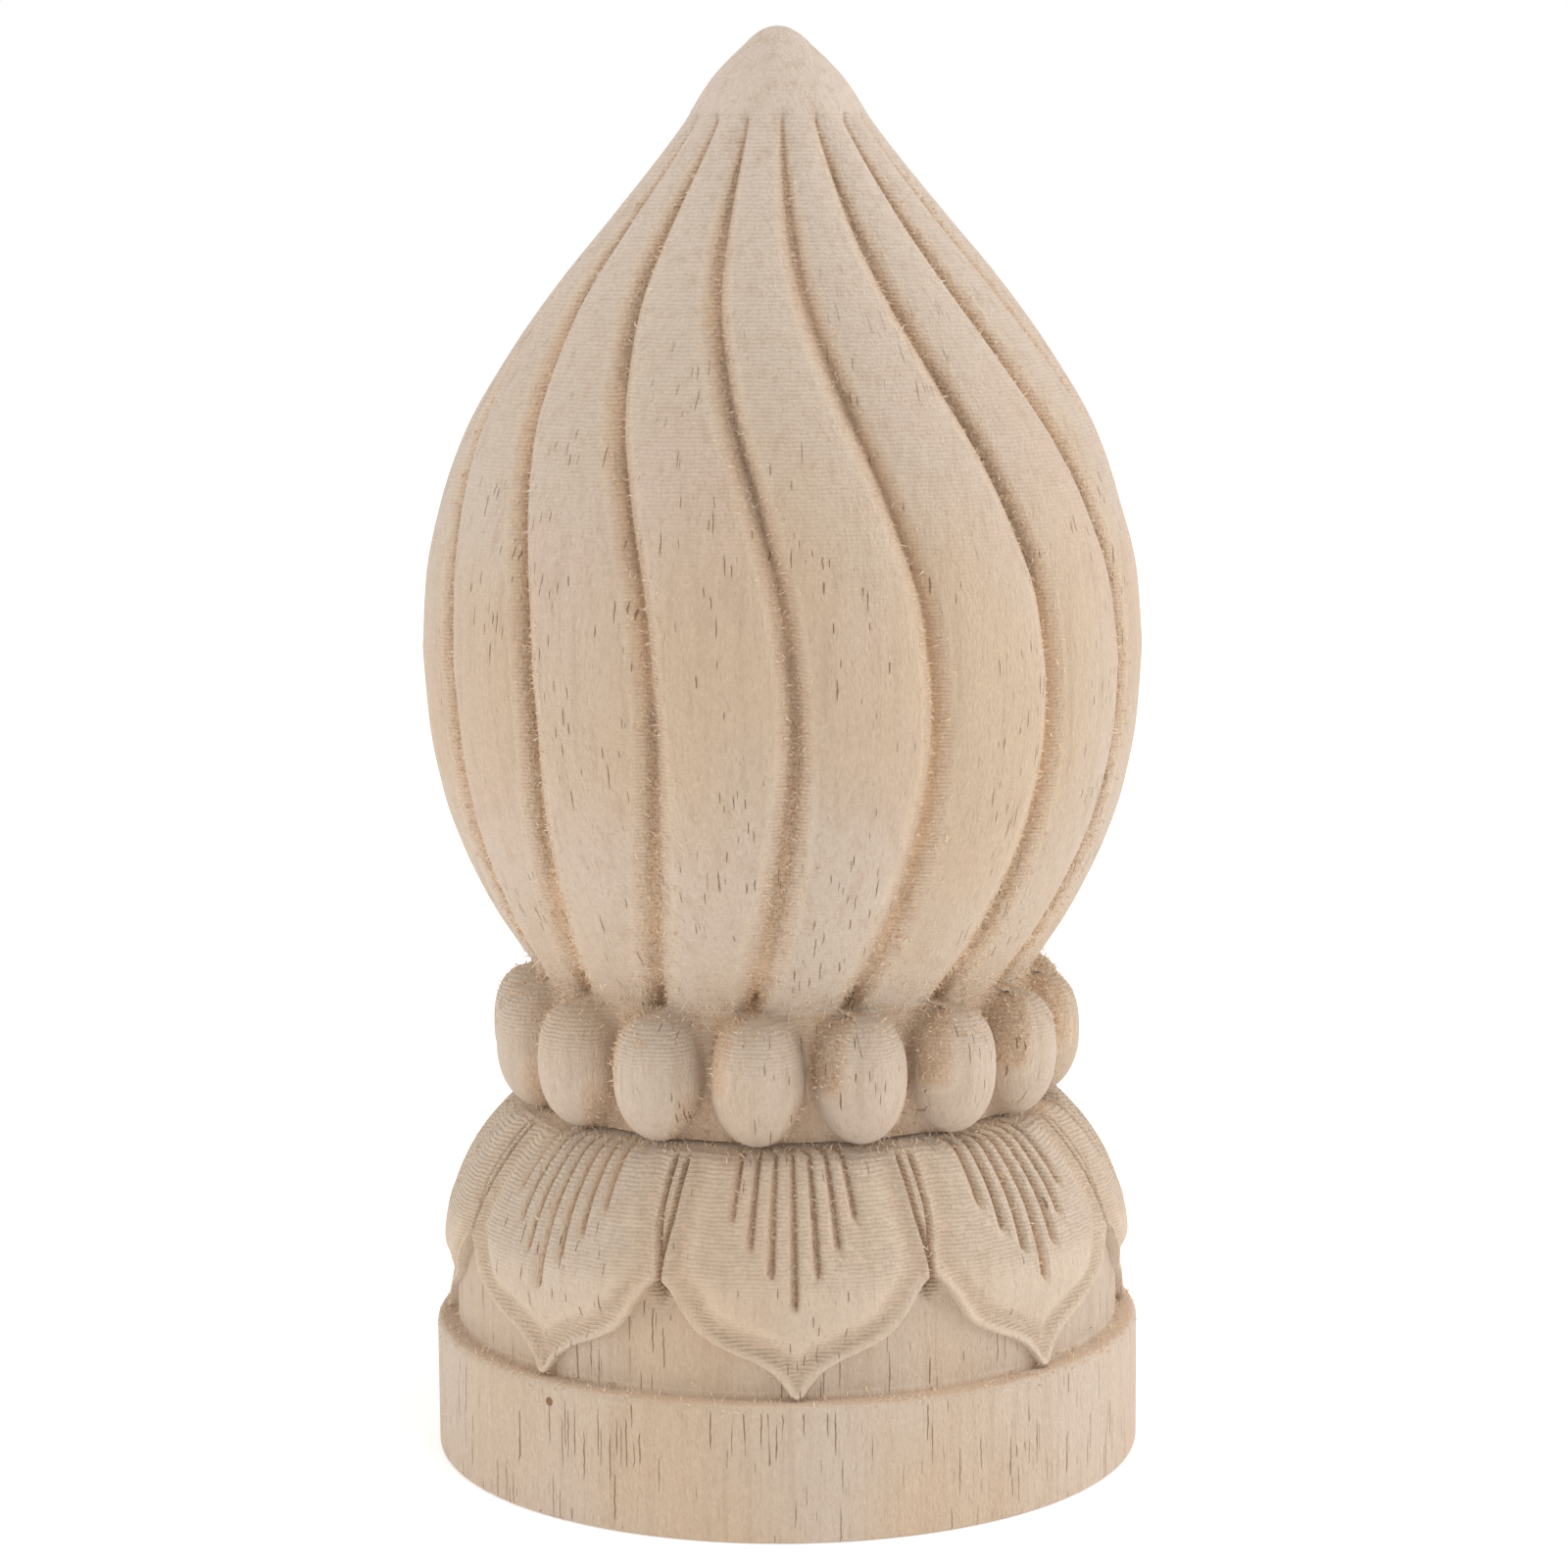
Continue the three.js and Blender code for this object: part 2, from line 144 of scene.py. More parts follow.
VALLEY_TOP = 0.909
VALLEY_FADE = [
    (0.00, 0.52), (0.04, 0.70), (0.13, 0.82), (0.33, 0.91), (0.50, 1.00), (0.62, 1.00),
    (0.75, 0.94), (0.83, 0.76), (0.88, 0.54), (0.903, 0.36), (VALLEY_TOP, 0.08),
]
CUP_OUTLINE = [
    (0.00, 1.00), (0.05, 0.98), (0.11, 0.966), (0.19, 0.953), (0.27, 0.967), (0.36, 1.00),
    (0.50, 0.958), (0.58, 0.898), (0.66, 0.829), (0.73, 0.752), (0.81, 0.640), (0.89, 0.495),
    (0.965, 0.315), (1.00, 0.06),
]
PETAL_EDGE = [
    (0.00, 0.010), (0.03, 0.016), (0.09, 0.065), (0.17, 0.117), (0.29, 0.162), (0.47, 0.207),
    (0.64, 0.258), (0.72, 0.300), (0.79, 0.360), (0.86, 0.425), (0.91, 0.465), (0.96, 0.490),
    (1.00, 0.500),
]
FLUTE_ENDS = [(0, 0.40), (1, 0.53), (2, 0.63), (3, 0.74)]

# Sections of the cutter's work: millimetres in from the edge or aside of the middle, and the cut
RIM_SECTION = [
    (0.00, 0.32), (0.18, 0.12), (0.42, 0.13), (0.80, 0.46), (1.20, 0.76), (1.75, 0.88),
    (2.40, 0.70), (3.10, 0.40), (3.90, 0.16), (4.70, 0.04), (5.50, 0.00),
]
VALLEY_SECTION = [
    (0.00, 1.000), (0.15, 0.950), (0.30, 0.820), (0.48, 0.660), (0.72, 0.520), (1.05, 0.395),
    (1.50, 0.265), (2.10, 0.150), (2.80, 0.065), (3.60, 0.018), (4.40, 0.000),
]

# How deep in a groove a place counts as, which sets its painted shade and warm bounce light: 1 is a valley's
# bottom, and more than 1 is a pit painted dark
SEAM_GROOVE = 1.15
FLUTE_GROOVE = 1.25
RIM_GROOVE = 0.3
POCKET_GROOVE = 1.6
PIT_GROOVE = 1.6
NECK_GROOVE = 0.3
NECK_GROOVE_REACH = 0.8

# Torn sides of a bead: the groove they count as, and how far aside and at which levels, in half beads
TORN_LEFT_GROOVE = 0.5
TORN_LEFT_ASIDE = (0.35, 0.75)
TORN_LEFT_LEVELS = (-0.35, 0.1)
TORN_RIGHT_GROOVE = 0.35
TORN_RIGHT_ASIDE = (0.50, 0.85)
TORN_RIGHT_LEVELS = (-0.4, 0.1)

# How clear the tool's rows are, and over which shares of a height, a groove or a hollow they come in
FAINT_ROWS = 0.12
PETAL_ROWS = 1.35
PETAL_ROWS_FADE = (0.38, 0.58)
RIM_ROWS_GAIN = 1.2
FLUTE_SMOOTHING = 0.7
HOLLOW_ROWS_FADE = (0.15, 1.2)
NECK_ROWS = 0.3
BEAD_ROWS = 0.10
BEAD_TOP_ROWS = 0.75
BEAD_ROWS_LEVELS = (0.1, 0.6)
BALL_ROWS = 0.10
BALL_UPPER_ROWS = 0.60
BALL_UPPER_ROWS_FADE = (0.38, 0.60)
BALL_FOOT_ROWS = 0.30
BALL_FOOT_ROWS_FADE = (0.03, 0.18)
VALLEY_ROWS = 0.85
VALLEY_ROWS_FADE = (0.06, 0.25)

# Colours of the wood and of its painted highlight, shade and warm bounce light, in linear light
TAN = (0.565, 0.426, 0.300, 1)
CREAM = (0.570, 0.462, 0.368, 1)
BLUSH = (0.585, 0.432, 0.352, 1)
ROSE = (0.605, 0.500, 0.418, 1)
# The streak, pale, groove, ginger, torn and pit colours also serve as painted shade, highlight and warm
# bounce light
STREAK_AND_SHADE = (0.455, 0.320, 0.220, 1)
PALE_AND_HIGHLIGHT = (0.780, 0.620, 0.450, 1)
GROOVE_BROWN_AND_BOUNCE = (0.635, 0.440, 0.290, 1)
GINGER_FUZZ_AND_BOUNCE = (0.860, 0.580, 0.360, 1)
TORN_BROWN_AND_SHADE = (0.440, 0.250, 0.125, 1)
FIBRE = (0.840, 0.690, 0.510, 1)
PORE = (0.245, 0.118, 0.050, 1)
PIT_SHADE = (0.260, 0.155, 0.085, 1)

# Marks in the wood, in millimetres
TOOL_ROW = 0.43
TOOL_ROW_HEIGHT = 0.06
LONG_PORES = {"cells_per_mm": 1.0, "width": 0.165, "length": 2.8, "rare": 0.34, "swarm": 0.0}
SHORT_PORES = {"cells_per_mm": 1.45, "width": 0.16, "length": 1.5, "rare": 0.46, "swarm": 0.0}
FACE_PORES = {"cells_per_mm": 2.1, "width": 0.15, "length": 6.0, "rare": 0.20, "swarm": 0.60}
SWARM_AT = -0.485
SWARM_WIDTH = 0.24
DARK_SPECK = (-25.75, -30.74, 13.1)
VESSEL_RADIUS = 0.10
VESSELS_PER_MM = 1.1
FIBRE_SEED = 7
FIBRE_COUNT = 19500
FIBRE_LENGTH = 1.0
FIBRE_WIDTH = 0.15
FIBRE_SINK = 0.08
FIBRE_BEND = 0.7
FIBRE_TAPER = 0.75
FIBRE_SCATTER = 0.45
FIBRE_UPRIGHT = 0.8
FIBRE_TANGLE = 0.5
FIBRE_DROOP = 0.2
FIBRE_SHORTEST = 0.35
FIBRE_SHORTENING = 1.5

# Light, with each lamp's place, size and power
ROOM_LIGHT = 0.735
BACKDROP = 1.0
FLOOR_GLOW = 0.335
FLOOR_SIZE = 8.0
FLOOR_WHITE = (0.93, 0.93, 0.93, 1)
LAMPS = {
    "left": ((-0.9, 0.0, 0.35), 0.5, 1.9),
    "right": ((0.9, 0.0, 0.35), 0.5, 2.7),
    "top": ((0.2, -0.2, 1.2), 0.4, 4.2),
}
LAMP_TARGET = (0, 0, 0.08)

# Camera, from the photo's perspective of a 160 mm finial, with its lens and sensor in millimetres
CAMERA_ASIDE = 0.0001
CAMERA_DISTANCE = 0.4673
CAMERA_HEIGHT = 0.1483
CAMERA_PITCH = 8.84
CAMERA_ROLL = -0.436
CAMERA_LENS = 96.09
CAMERA_SENSOR = 36.0


def smoothstep(start, end, value):
    """An even rise from 0 to 1 between two values."""
    t = np.clip((value - start) / (end - start), 0, 1)
    return t * t * (3 - 2 * t)


def curve_through(points):
    """A smooth curve through given points that never overshoots them."""
    x, y = np.array(points, float).T
    rises = np.diff(y) / np.diff(x)
    product = rises[:-1] * rises[1:]
    total = rises[:-1] + rises[1:]
    inner = np.where(product > 0, 2 * product / np.where(total == 0, 1, total), 0)
    slopes = np.concatenate([rises[:1], inner, rises[-1:]])

    def curve(at):
        at = np.clip(at, x[0], x[-1])
        i = np.clip(np.searchsorted(x, at) - 1, 0, len(x) - 2)
        width = x[i + 1] - x[i]
        t = (at - x[i]) / width
        blend = t * t * (3 - 2 * t)
        bend = t * (1 - t) * width * ((1 - t) * slopes[i] - t * slopes[i + 1])
        return y[i] * (1 - blend) + y[i + 1] * blend + bend

    return curve


ball_lower_outline = curve_through(BALL_LOWER_OUTLINE)
ball_upper_outline = curve_through(BALL_UPPER_OUTLINE)
valley_turn = curve_through(VALLEY_TURN)
valley_fade = curve_through(VALLEY_FADE)
cup_outline = curve_through(CUP_OUTLINE)
petal_edge = curve_through(PETAL_EDGE)
flute_end = curve_through(FLUTE_ENDS)
rim_section = curve_through(RIM_SECTION)
valley_section = curve_through(VALLEY_SECTION)


def ball_radius(z):
    """Radius over the lobes' crests, from the neck to the rounded nose."""
    share = (z - BALL_BASE) / BALL_HEIGHT
    foot = NECK_RADIUS + BALL_FOOT_FLARE
    nose_share, nose_radius = BALL_UPPER_OUTLINE[-1]
    lower = foot + (BALL_RADIUS - foot) * ball_lower_outline(share)
    upper = BALL_RADIUS * ball_upper_outline(share)
    nose = BALL_RADIUS * nose_radius * np.sqrt(np.clip((1 - share) / (1 - nose_share), 0, 1))
    return np.where(share <= BELLY, lower, np.where(share <= nose_share, upper, nose))


def lobe_cut(across, z):
    """How far the wood is cut back across a lobe, where 0 and 1 are its valleys."""
    share = (z - BALL_BASE) / BALL_HEIGHT
    lobe_width = math.radians(LOBE_ANGLE) * ball_radius(z)
    from_valley = np.minimum(across, 1 - across) * lobe_width
    widening = 1 + FOOT_WIDENING * (1 - smoothstep(0, FOOT_SHARE, share))
    width = np.minimum(1, lobe_width / NARROW_LOBE) * widening
    crown = LOBE_CROWN * (2 * across - 1) ** 2
    depth = VALLEY_DEPTH * valley_fade(share)
    return (depth - LOBE_CROWN) * valley_section(from_valley / width) + crown


def pit(across, z):
    """The hole that ends each valley at its foot, from 0 to 1, which is also painted dark as shade."""
    from_valley = np.minimum(across, 1 - across) * math.radians(LOBE_ANGLE) * ball_radius(z)
    rise = (z - BALL_BASE - PIT_RISE) / PIT_HEIGHT
    return np.exp(-((from_valley / PIT_WIDTH) ** 2) - rise ** 2)


def bead_reach(level):
    """Half a bead's width and depth, and half the angle it covers, at a share of half its height."""
    fullness = BEAD_FULLNESS_ABOVE if level > 0 else BEAD_FULLNESS_BELOW
    shrink = (1 - abs(level) ** fullness) ** (1 / fullness)
    half_width = (BEAD_RING_RADIUS * math.radians(LOBE_ANGLE) - BEAD_GAP) / 2 * shrink
    half_depth = BEAD_DEPTH / 2 * shrink
    reach = np.degrees(np.arctan(half_width / np.sqrt(BEAD_RING_RADIUS ** 2 - half_depth ** 2)))
    return half_width, half_depth, reach


def bead_radius(offset, level):
    """Radius of a bead's skin at an angle from its middle: the far root of a quadratic."""
    half_width, half_depth, _ = bead_reach(level)
    side = np.sin(np.radians(offset)) / half_width
    out = np.cos(np.radians(offset)) / half_depth
    seat = BEAD_RING_RADIUS / half_depth
    a = side * side + out * out
    b = out * seat
    c = seat * seat - 1
    return (b + np.sqrt(np.maximum(0, b * b - a * c))) / a


EDGE_SAMPLES = 97


def distance_to_edge(x, y):
    """Distance in millimetres from points on the cup to the petal's edge, both laid flat."""
    share = np.linspace(0, 1, EDGE_SAMPLES)
    edge_x, edge_y = share * PETAL_HALF_WIDTH, petal_edge(share) * CUP_HEIGHT
    nearest = np.full(np.shape(x), np.inf)
    for i in range(EDGE_SAMPLES - 1):
        along_x, along_y = edge_x[i + 1] - edge_x[i], edge_y[i + 1] - edge_y[i]
        from_x, from_y = x - edge_x[i], y - edge_y[i]
        t = np.clip((from_x * along_x + from_y * along_y) / (along_x * along_x + along_y * along_y), 0, 1)
        nearest = np.minimum(nearest, np.hypot(from_x - t * along_x, from_y - t * along_y))
    return nearest


def side_angle(inward):
    """Angle from the petal's middle of a line that runs a distance inward of its seam."""
    return PETAL_ANGLE / 2 * (1 - inward / PETAL_HALF_WIDTH)


LAST_FLUTE = (FLUTE_COUNT - 1) // 2
FLUTE_PITCH = 2 * side_angle(PETAL_SHOULDER_AT + FLUTE_MARGIN) / (FLUTE_COUNT - 1)


def flute_spread(height):
    """Share of the flutes' full spread, which narrows over the cup's upper half."""
    return FLUTE_FAN + (1 - FLUTE_FAN) * np.clip(2 - 2 * height / CUP_HEIGHT, 0, 1)


def flute_cut(offset, height):
    """How deep in a flute each point lies, and how far it is on its long smooth flank, from 0 to 1."""
    place = offset / (FLUTE_PITCH * flute_spread(height))
    number = np.clip(np.round(place), -LAST_FLUTE, LAST_FLUTE)
    aside = place - number
    end = flute_end(np.abs(number)) * CUP_HEIGHT
    cut = smoothstep(end - FLUTE_RUN_OUT / 2, end + FLUTE_RUN_OUT / 2, height)
    flank = np.where(aside < 0, -aside / FLUTE_LONG_FLANK, aside / FLUTE_SHORT_FLANK)
    smooth = np.where((aside < 0) & (flank < 1), cut, 0)
    return np.clip(1 - flank, 0, 1) * cut, smooth


def petal_surface(offset, height):
    """Radius of the petals' skin, how deep in a groove it lies, and how clear the tool's rows are."""
    outline = NECK_RADIUS + (PETAL_RADIUS - NECK_RADIUS) * cup_outline(height / CUP_HEIGHT)
    from_edge = distance_to_edge(np.abs(np.radians(offset)) * PETAL_RADIUS, height)
    from_seam = np.radians(PETAL_ANGLE / 2 - np.abs(offset)) * outline
    from_rib = from_seam - PETAL_RIB_HALF_WIDTH * smoothstep(*PETAL_RIB_FADE, height / CUP_HEIGHT)
    seam = np.exp(-((from_rib / (PETAL_SEAM_WIDTH / 2)) ** 2))
    rim = rim_section(np.minimum(from_edge, np.abs(from_rib)))
    fade = 1 - smoothstep(*PETAL_CARVING_FADE, height / CUP_HEIGHT)
    flute, smooth = flute_cut(offset, height)
    cut = (PETAL_SEAM_DEPTH * seam + rim) * fade + FLUTE_DEPTH * flute
    groove = np.maximum.reduce([
        SEAM_GROOVE * seam * fade, FLUTE_GROOVE * flute ** 2, RIM_GROOVE * rim * fade,
    ])
    rows_above = smoothstep(*PETAL_ROWS_FADE, height / CUP_HEIGHT)
    rows = np.maximum(PETAL_ROWS * np.maximum(rows_above, np.clip(RIM_ROWS_GAIN * rim, 0, 1)), FAINT_ROWS)
    return np.maximum(outline - cut, NECK_RADIUS), groove, rows * (1 - FLUTE_SMOOTHING * smooth)


def ground_surface(offset, height):
    """Skin of the ground below the petals, hollowed out to a pocket where two petals meet."""
    from_seam = np.radians(PETAL_ANGLE / 2 - np.abs(offset)) * GROUND_RADIUS
    top = petal_edge(1) * CUP_HEIGHT
    hollow = HOLLOW_DEPTH * np.exp(-from_seam / HOLLOW_WIDTH) * smoothstep(top - HOLLOW_HEIGHT, top, height)
    pocket = np.exp(-((from_seam / POCKET_WIDTH) ** 2)) * smoothstep(top - 2 * POCKET_WIDTH, top, height)
    radius = GROUND_RADIUS - hollow - POCKET_DEPTH * pocket
    return radius, POCKET_GROOVE * pocket, smoothstep(*HOLLOW_ROWS_FADE, hollow)


def ring(angle, radius, z, groove=0.0, rows=0.0):
    """Points round the axis, with how deep in a groove each lies and how clear the tool's rows are there."""
    shape = np.shape(angle)
    return {
        "angle": np.asarray(angle, float),
        "radius": np.broadcast_to(radius, shape).astype(float),
        "z": np.broadcast_to(z, shape).astype(float),
        "groove": np.broadcast_to(groove, shape).astype(float),
        "rows": np.broadcast_to(rows, shape).astype(float),
    }


def circle(count, radius, z, rows=0.0):
    return ring(np.arange(count) * 360 / count, radius, z, rows=rows)


PLINTH_COLUMNS = 320
PLINTH_FOOT_RINGS = 5
PLINTH_SIDE_RINGS = 8
PLINTH_TOP_RINGS = 6


def plinth_rings():
    """The plinth's rounded foot, its side, its rounded top edge and the ledge."""
    rings = []
    for angle in np.linspace(0, 90, PLINTH_FOOT_RINGS):
        inset = PLINTH_FOOT_ROUND * (1 - math.sin(math.radians(angle)))
        rise = PLINTH_FOOT_ROUND * (1 - math.cos(math.radians(angle)))
        rings.append(circle(PLINTH_COLUMNS, PLINTH_RADIUS - inset, rise))
    for z in np.linspace(PLINTH_FOOT_ROUND, PLINTH_HEIGHT - PLINTH_TOP_ROUND, PLINTH_SIDE_RINGS)[1:-1]:
        rings.append(circle(PLINTH_COLUMNS, PLINTH_RADIUS, z))
    for angle in np.linspace(0, 90, PLINTH_TOP_RINGS):
        inset = PLINTH_TOP_ROUND * (1 - math.cos(math.radians(angle)))
        rise = PLINTH_TOP_ROUND * (1 - math.sin(math.radians(angle)))
        rings.append(circle(PLINTH_COLUMNS, PLINTH_RADIUS - inset, PLINTH_HEIGHT - rise))
    rings.append(circle(PLINTH_COLUMNS, GROUND_RADIUS + LEDGE_GAP, PLINTH_HEIGHT))
    return rings


# Steps across and up a petal, from its seam, its flutes and its edge
SIDE_STEPS = [0, 0.12, 0.25, 0.4, 0.6, 0.85, 1.15, 1.45, 1.8, 2.2, 2.7, 3.3, 4.0, 4.9, 5.9, 6.9]
FLUTE_STEPS = [0, 0.10, 0.20, 0.31, 0.42, 0.58, 0.69, 0.80, 0.90]
LAST_FLUTE_STEPS = FLUTE_STEPS[:3]
GROUND_ROWS = [0, 0.25, 0.5, 0.65, 0.76, 0.85, 0.92, 0.97, 1]
RIM_ROWS = [0, 0.12, 0.26, 0.45, 0.7, 1.0, 1.35, 1.75, 2.2, 2.7, 3.3, 4.0]
CHEEK_ROWS = 26
CHEEK_CROWDING = 0.9


def petal_columns():
    """Angles across half a petal from its middle to its seam, and which of them fan with the flutes."""
    flutes = [(k + step) * FLUTE_PITCH for k in range(LAST_FLUTE) for step in FLUTE_STEPS]
    flutes += [(LAST_FLUTE + step) * FLUTE_PITCH for step in LAST_FLUTE_STEPS]
    sides = [side_angle(step) for step in reversed(SIDE_STEPS[1:])]
    half = np.array(flutes + sides)
    fans = np.array([True] * len(flutes) + [False] * len(sides))
    offset = np.concatenate([[-PETAL_ANGLE / 2], -half[:0:-1], half])
    return offset, np.concatenate([[False], fans[:0:-1], fans])


def petal_rings():
    """The bare ground of the cup, then the petals' rims and their cheeks up to the neck."""
    offset, fans = petal_columns()
    middles = PETAL_TURN + PETAL_ANGLE * np.arange(PETAL_COUNT)
    edge = petal_edge(np.abs(offset) / (PETAL_ANGLE / 2)) * CUP_HEIGHT

    def tile(values):
        return np.tile(np.broadcast_to(values, offset.shape), PETAL_COUNT)

    def around(offsets, height, surface):
        angle = (middles[:, None] + offsets[None]).ravel()
        radius, groove, rows = surface(offsets, height)
        return ring(angle, tile(radius), PLINTH_HEIGHT + tile(height), tile(groove), tile(rows))

    def skin(height):
        return around(offset * np.where(fans, flute_spread(height), 1.0), height, petal_surface)

    foot = edge * (1 - PETAL_UNDERCUT / CUP_HEIGHT)
    rings = [around(offset, foot * share, ground_surface) for share in GROUND_ROWS]
    rings += [skin(edge + inward) for inward in RIM_ROWS]
    start = edge + RIM_ROWS[-1]
    for share in (np.arange(CHEEK_ROWS) + 1) / (CHEEK_ROWS + 1):
        rings.append(skin(start + (CUP_HEIGHT - start) * share ** CHEEK_CROWDING))
    return rings


# Steps across half a lobe and a bead, and rings up the neck, the beads, the ball and its nose
LOBE_STEPS = np.array([
    0, 0.010, 0.023, 0.038, 0.057, 0.082, 0.114, 0.158, 0.215, 0.30, 0.44, 0.63, 0.82, 1.0,
])
HALF_STEPS = len(LOBE_STEPS) - 1
BEAD_STEPS = 10
BEAD_RINGS = 28
BEAD_END_ANGLE = 9
ROUNDING = 1e-6
CREASE_DROP = 0.05
CREASE_RISE = 0.2
OUTLINE_SAMPLES = 2000
FIRST_LOBE_RING = 0.2
FOOT_ZONE = 3.2
FOOT_ROWS = 7
LOBE_ROWS = 97
LOBE_START_LEVEL = 0.97
LOBE_SETTLING = (0.0, 0.03)
NOSE_COLUMNS = 96
NOSE_SHARES = [*np.linspace(0.9115, 0.98, 12), 0.985, 0.990, 0.994, 0.997, 0.999]


def mirrored(half, full):
    """Columns from one valley or bead middle to the next, from those up to halfway."""
    return np.concatenate([half, full - half[-2:0:-1]])


def lobe_band(columns, turn, z, surface):
    """A ring whose columns repeat for each lobe, or for each bead."""
    angle = (turn + LOBE_ANGLE * np.arange(LOBE_COUNT))[:, None] + columns[None]
    radius, groove, rows = (
        np.tile(np.broadcast_to(values, columns.shape), LOBE_COUNT) for values in surface(columns, z)
    )
    return ring(angle.ravel(), radius, z, groove, rows)


def bead_columns(reach):
    """Angles across one bead, closer at its sides, and on over the gap to the next."""
    on_bead = reach * np.sin(np.radians(np.linspace(0, 90, BEAD_STEPS + 1)))
    in_gap = np.linspace(reach, LOBE_ANGLE / 2, HALF_STEPS - BEAD_STEPS + 1)[1:]
    return mirrored(np.concatenate([on_bead, in_gap]), LOBE_ANGLE)


def bead_surface(level):
    """The skin of beads and gaps at a share of half the beads' height."""
    def surface(columns, z):
        offset = np.where(columns > LOBE_ANGLE / 2, columns - LOBE_ANGLE, columns)
        _, _, reach = bead_reach(level)
        skin = np.where(np.abs(offset) <= reach + ROUNDING, bead_radius(offset, level), NECK_RADIUS)
        radius = np.maximum(skin, NECK_RADIUS)
        across = offset / reach
        torn_left = smoothstep(*TORN_LEFT_ASIDE, -across) * smoothstep(*TORN_LEFT_LEVELS, level)
        torn_right = smoothstep(*TORN_RIGHT_ASIDE, across) * (1 - smoothstep(*TORN_RIGHT_LEVELS, level))
        # Beads near the neck count as a groove, for painted shade and warm bounce light where they meet it
        near_neck = NECK_GROOVE * np.exp(-(radius - NECK_RADIUS) / NECK_GROOVE_REACH)
        groove = np.maximum.reduce([near_neck, TORN_LEFT_GROOVE * torn_left, TORN_RIGHT_GROOVE * torn_right])
        return radius, groove, BEAD_ROWS + BEAD_TOP_ROWS * smoothstep(*BEAD_ROWS_LEVELS, level)
    return surface


def neck_surface(radius):
    return lambda columns, z: (radius, NECK_GROOVE, NECK_ROWS)


def bead_rings():
    """The crease at the neck's foot, then the beads."""
    middle = NECK_BASE + BEAD_FOOT_GAP + BEAD_HEIGHT / 2
    levels = -np.cos(np.radians(np.linspace(BEAD_END_ANGLE, 180 - BEAD_END_ANGLE, BEAD_RINGS)))
    columns = bead_columns(bead_reach(levels[0])[2])
    crease = neck_surface(NECK_RADIUS - NECK_CREASE)
    rings = [
        lobe_band(columns, BEAD_TURN, NECK_BASE - CREASE_DROP, crease),
        lobe_band(columns, BEAD_TURN, NECK_BASE + CREASE_RISE, neck_surface(NECK_RADIUS)),
    ]
    for level in levels:
        z = middle + level * BEAD_HEIGHT / 2
        rings.append(lobe_band(bead_columns(bead_reach(level)[2]), BEAD_TURN, z, bead_surface(level)))
    return rings


def ball_surface(columns, z):
    """The skin of the lobes and their valleys at one height."""
    across = columns / LOBE_ANGLE
    cut = lobe_cut(across, z)
    share = (z - BALL_BASE) / BALL_HEIGHT
    groove = np.clip((cut - LOBE_CROWN) / (VALLEY_DEPTH - LOBE_CROWN), 0, 1)
    rows = BALL_ROWS + BALL_UPPER_ROWS * smoothstep(*BALL_UPPER_ROWS_FADE, share)
    rows = rows + BALL_FOOT_ROWS * (1 - smoothstep(*BALL_FOOT_ROWS_FADE, share))
    rows = np.maximum(rows, VALLEY_ROWS * smoothstep(*VALLEY_ROWS_FADE, groove))
    hole = pit(across, z)
    return ball_radius(z) - cut - PIT_DEPTH * hole, np.maximum(groove, PIT_GROOVE * hole), rows


def ball_rings():
    """Rings up the lobes, an even way apart along the outline, and closer where the lobes begin and end."""
    z = np.linspace(BALL_BASE, BALL_BASE + VALLEY_TOP * BALL_HEIGHT, OUTLINE_SAMPLES)
    way = np.concatenate([[0], np.cumsum(np.hypot(np.diff(z), np.diff(ball_radius(z))))])
    foot_steps = np.linspace(FIRST_LOBE_RING, FOOT_ZONE, FOOT_ROWS)
    lobe_steps = np.linspace(FOOT_ZONE, way[-1], LOBE_ROWS)[1:]
    levels = np.interp(np.concatenate([foot_steps, lobe_steps]), way, z)
    columns = mirrored(LOBE_STEPS * LOBE_ANGLE / 2, LOBE_ANGLE)
    rings = []
    start_columns = bead_columns(bead_reach(LOBE_START_LEVEL)[2])
    for level in levels:
        share = (level - BALL_BASE) / BALL_HEIGHT
        settled = smoothstep(*LOBE_SETTLING, share)
        here = start_columns * (1 - settled) + columns * settled
        turn = BEAD_TURN + float(valley_turn(share))
        rings.append(lobe_band(here, turn, level, ball_surface))
    return rings


def tip_rings():
    """The smooth nose above the valleys."""
    rings = []
    for share in NOSE_SHARES:
        z = BALL_BASE + share * BALL_HEIGHT
        rings.append(circle(NOSE_COLUMNS, float(ball_radius(z)), z, rows=FAINT_ROWS))
    return rings


def join_equal(first_lower, first_upper, count):
    """Joins two rings with the same columns."""
    i = np.arange(count)
    j = (i + 1) % count
    quads = np.stack([first_lower + i, first_lower + j, first_upper + j, first_upper + i], 1)
    return quads.tolist()


def join_unequal(lower, upper, first_lower, first_upper):
    """Joins two rings with different columns by the angles of their points."""
    below, above = len(lower), len(upper)
    turned = (upper - lower[0] + 180) % 360 - 180
    start = int(np.argmin(np.abs(turned)))
    lower_at = np.concatenate([lower, [lower[0] + 360]]) - lower[0]
    upper_at = np.roll(upper, -start)
    upper_at = np.where(upper_at < upper_at[0], upper_at + 360, upper_at)
    upper_at = np.concatenate([upper_at, [upper_at[0] + 360]]) - upper_at[0] + turned[start]
    faces = []
    i = k = 0
    while i < below or k < above:
        a, b = first_lower + i % below, first_upper + (start + k) % above
        if k >= above or (i < below and lower_at[i + 1] <= upper_at[k + 1]):
            faces.append([a, first_lower + (i + 1) % below, b])
            i += 1
        else:
            faces.append([a, first_upper + (start + k + 1) % above, b])
            k += 1
    return faces


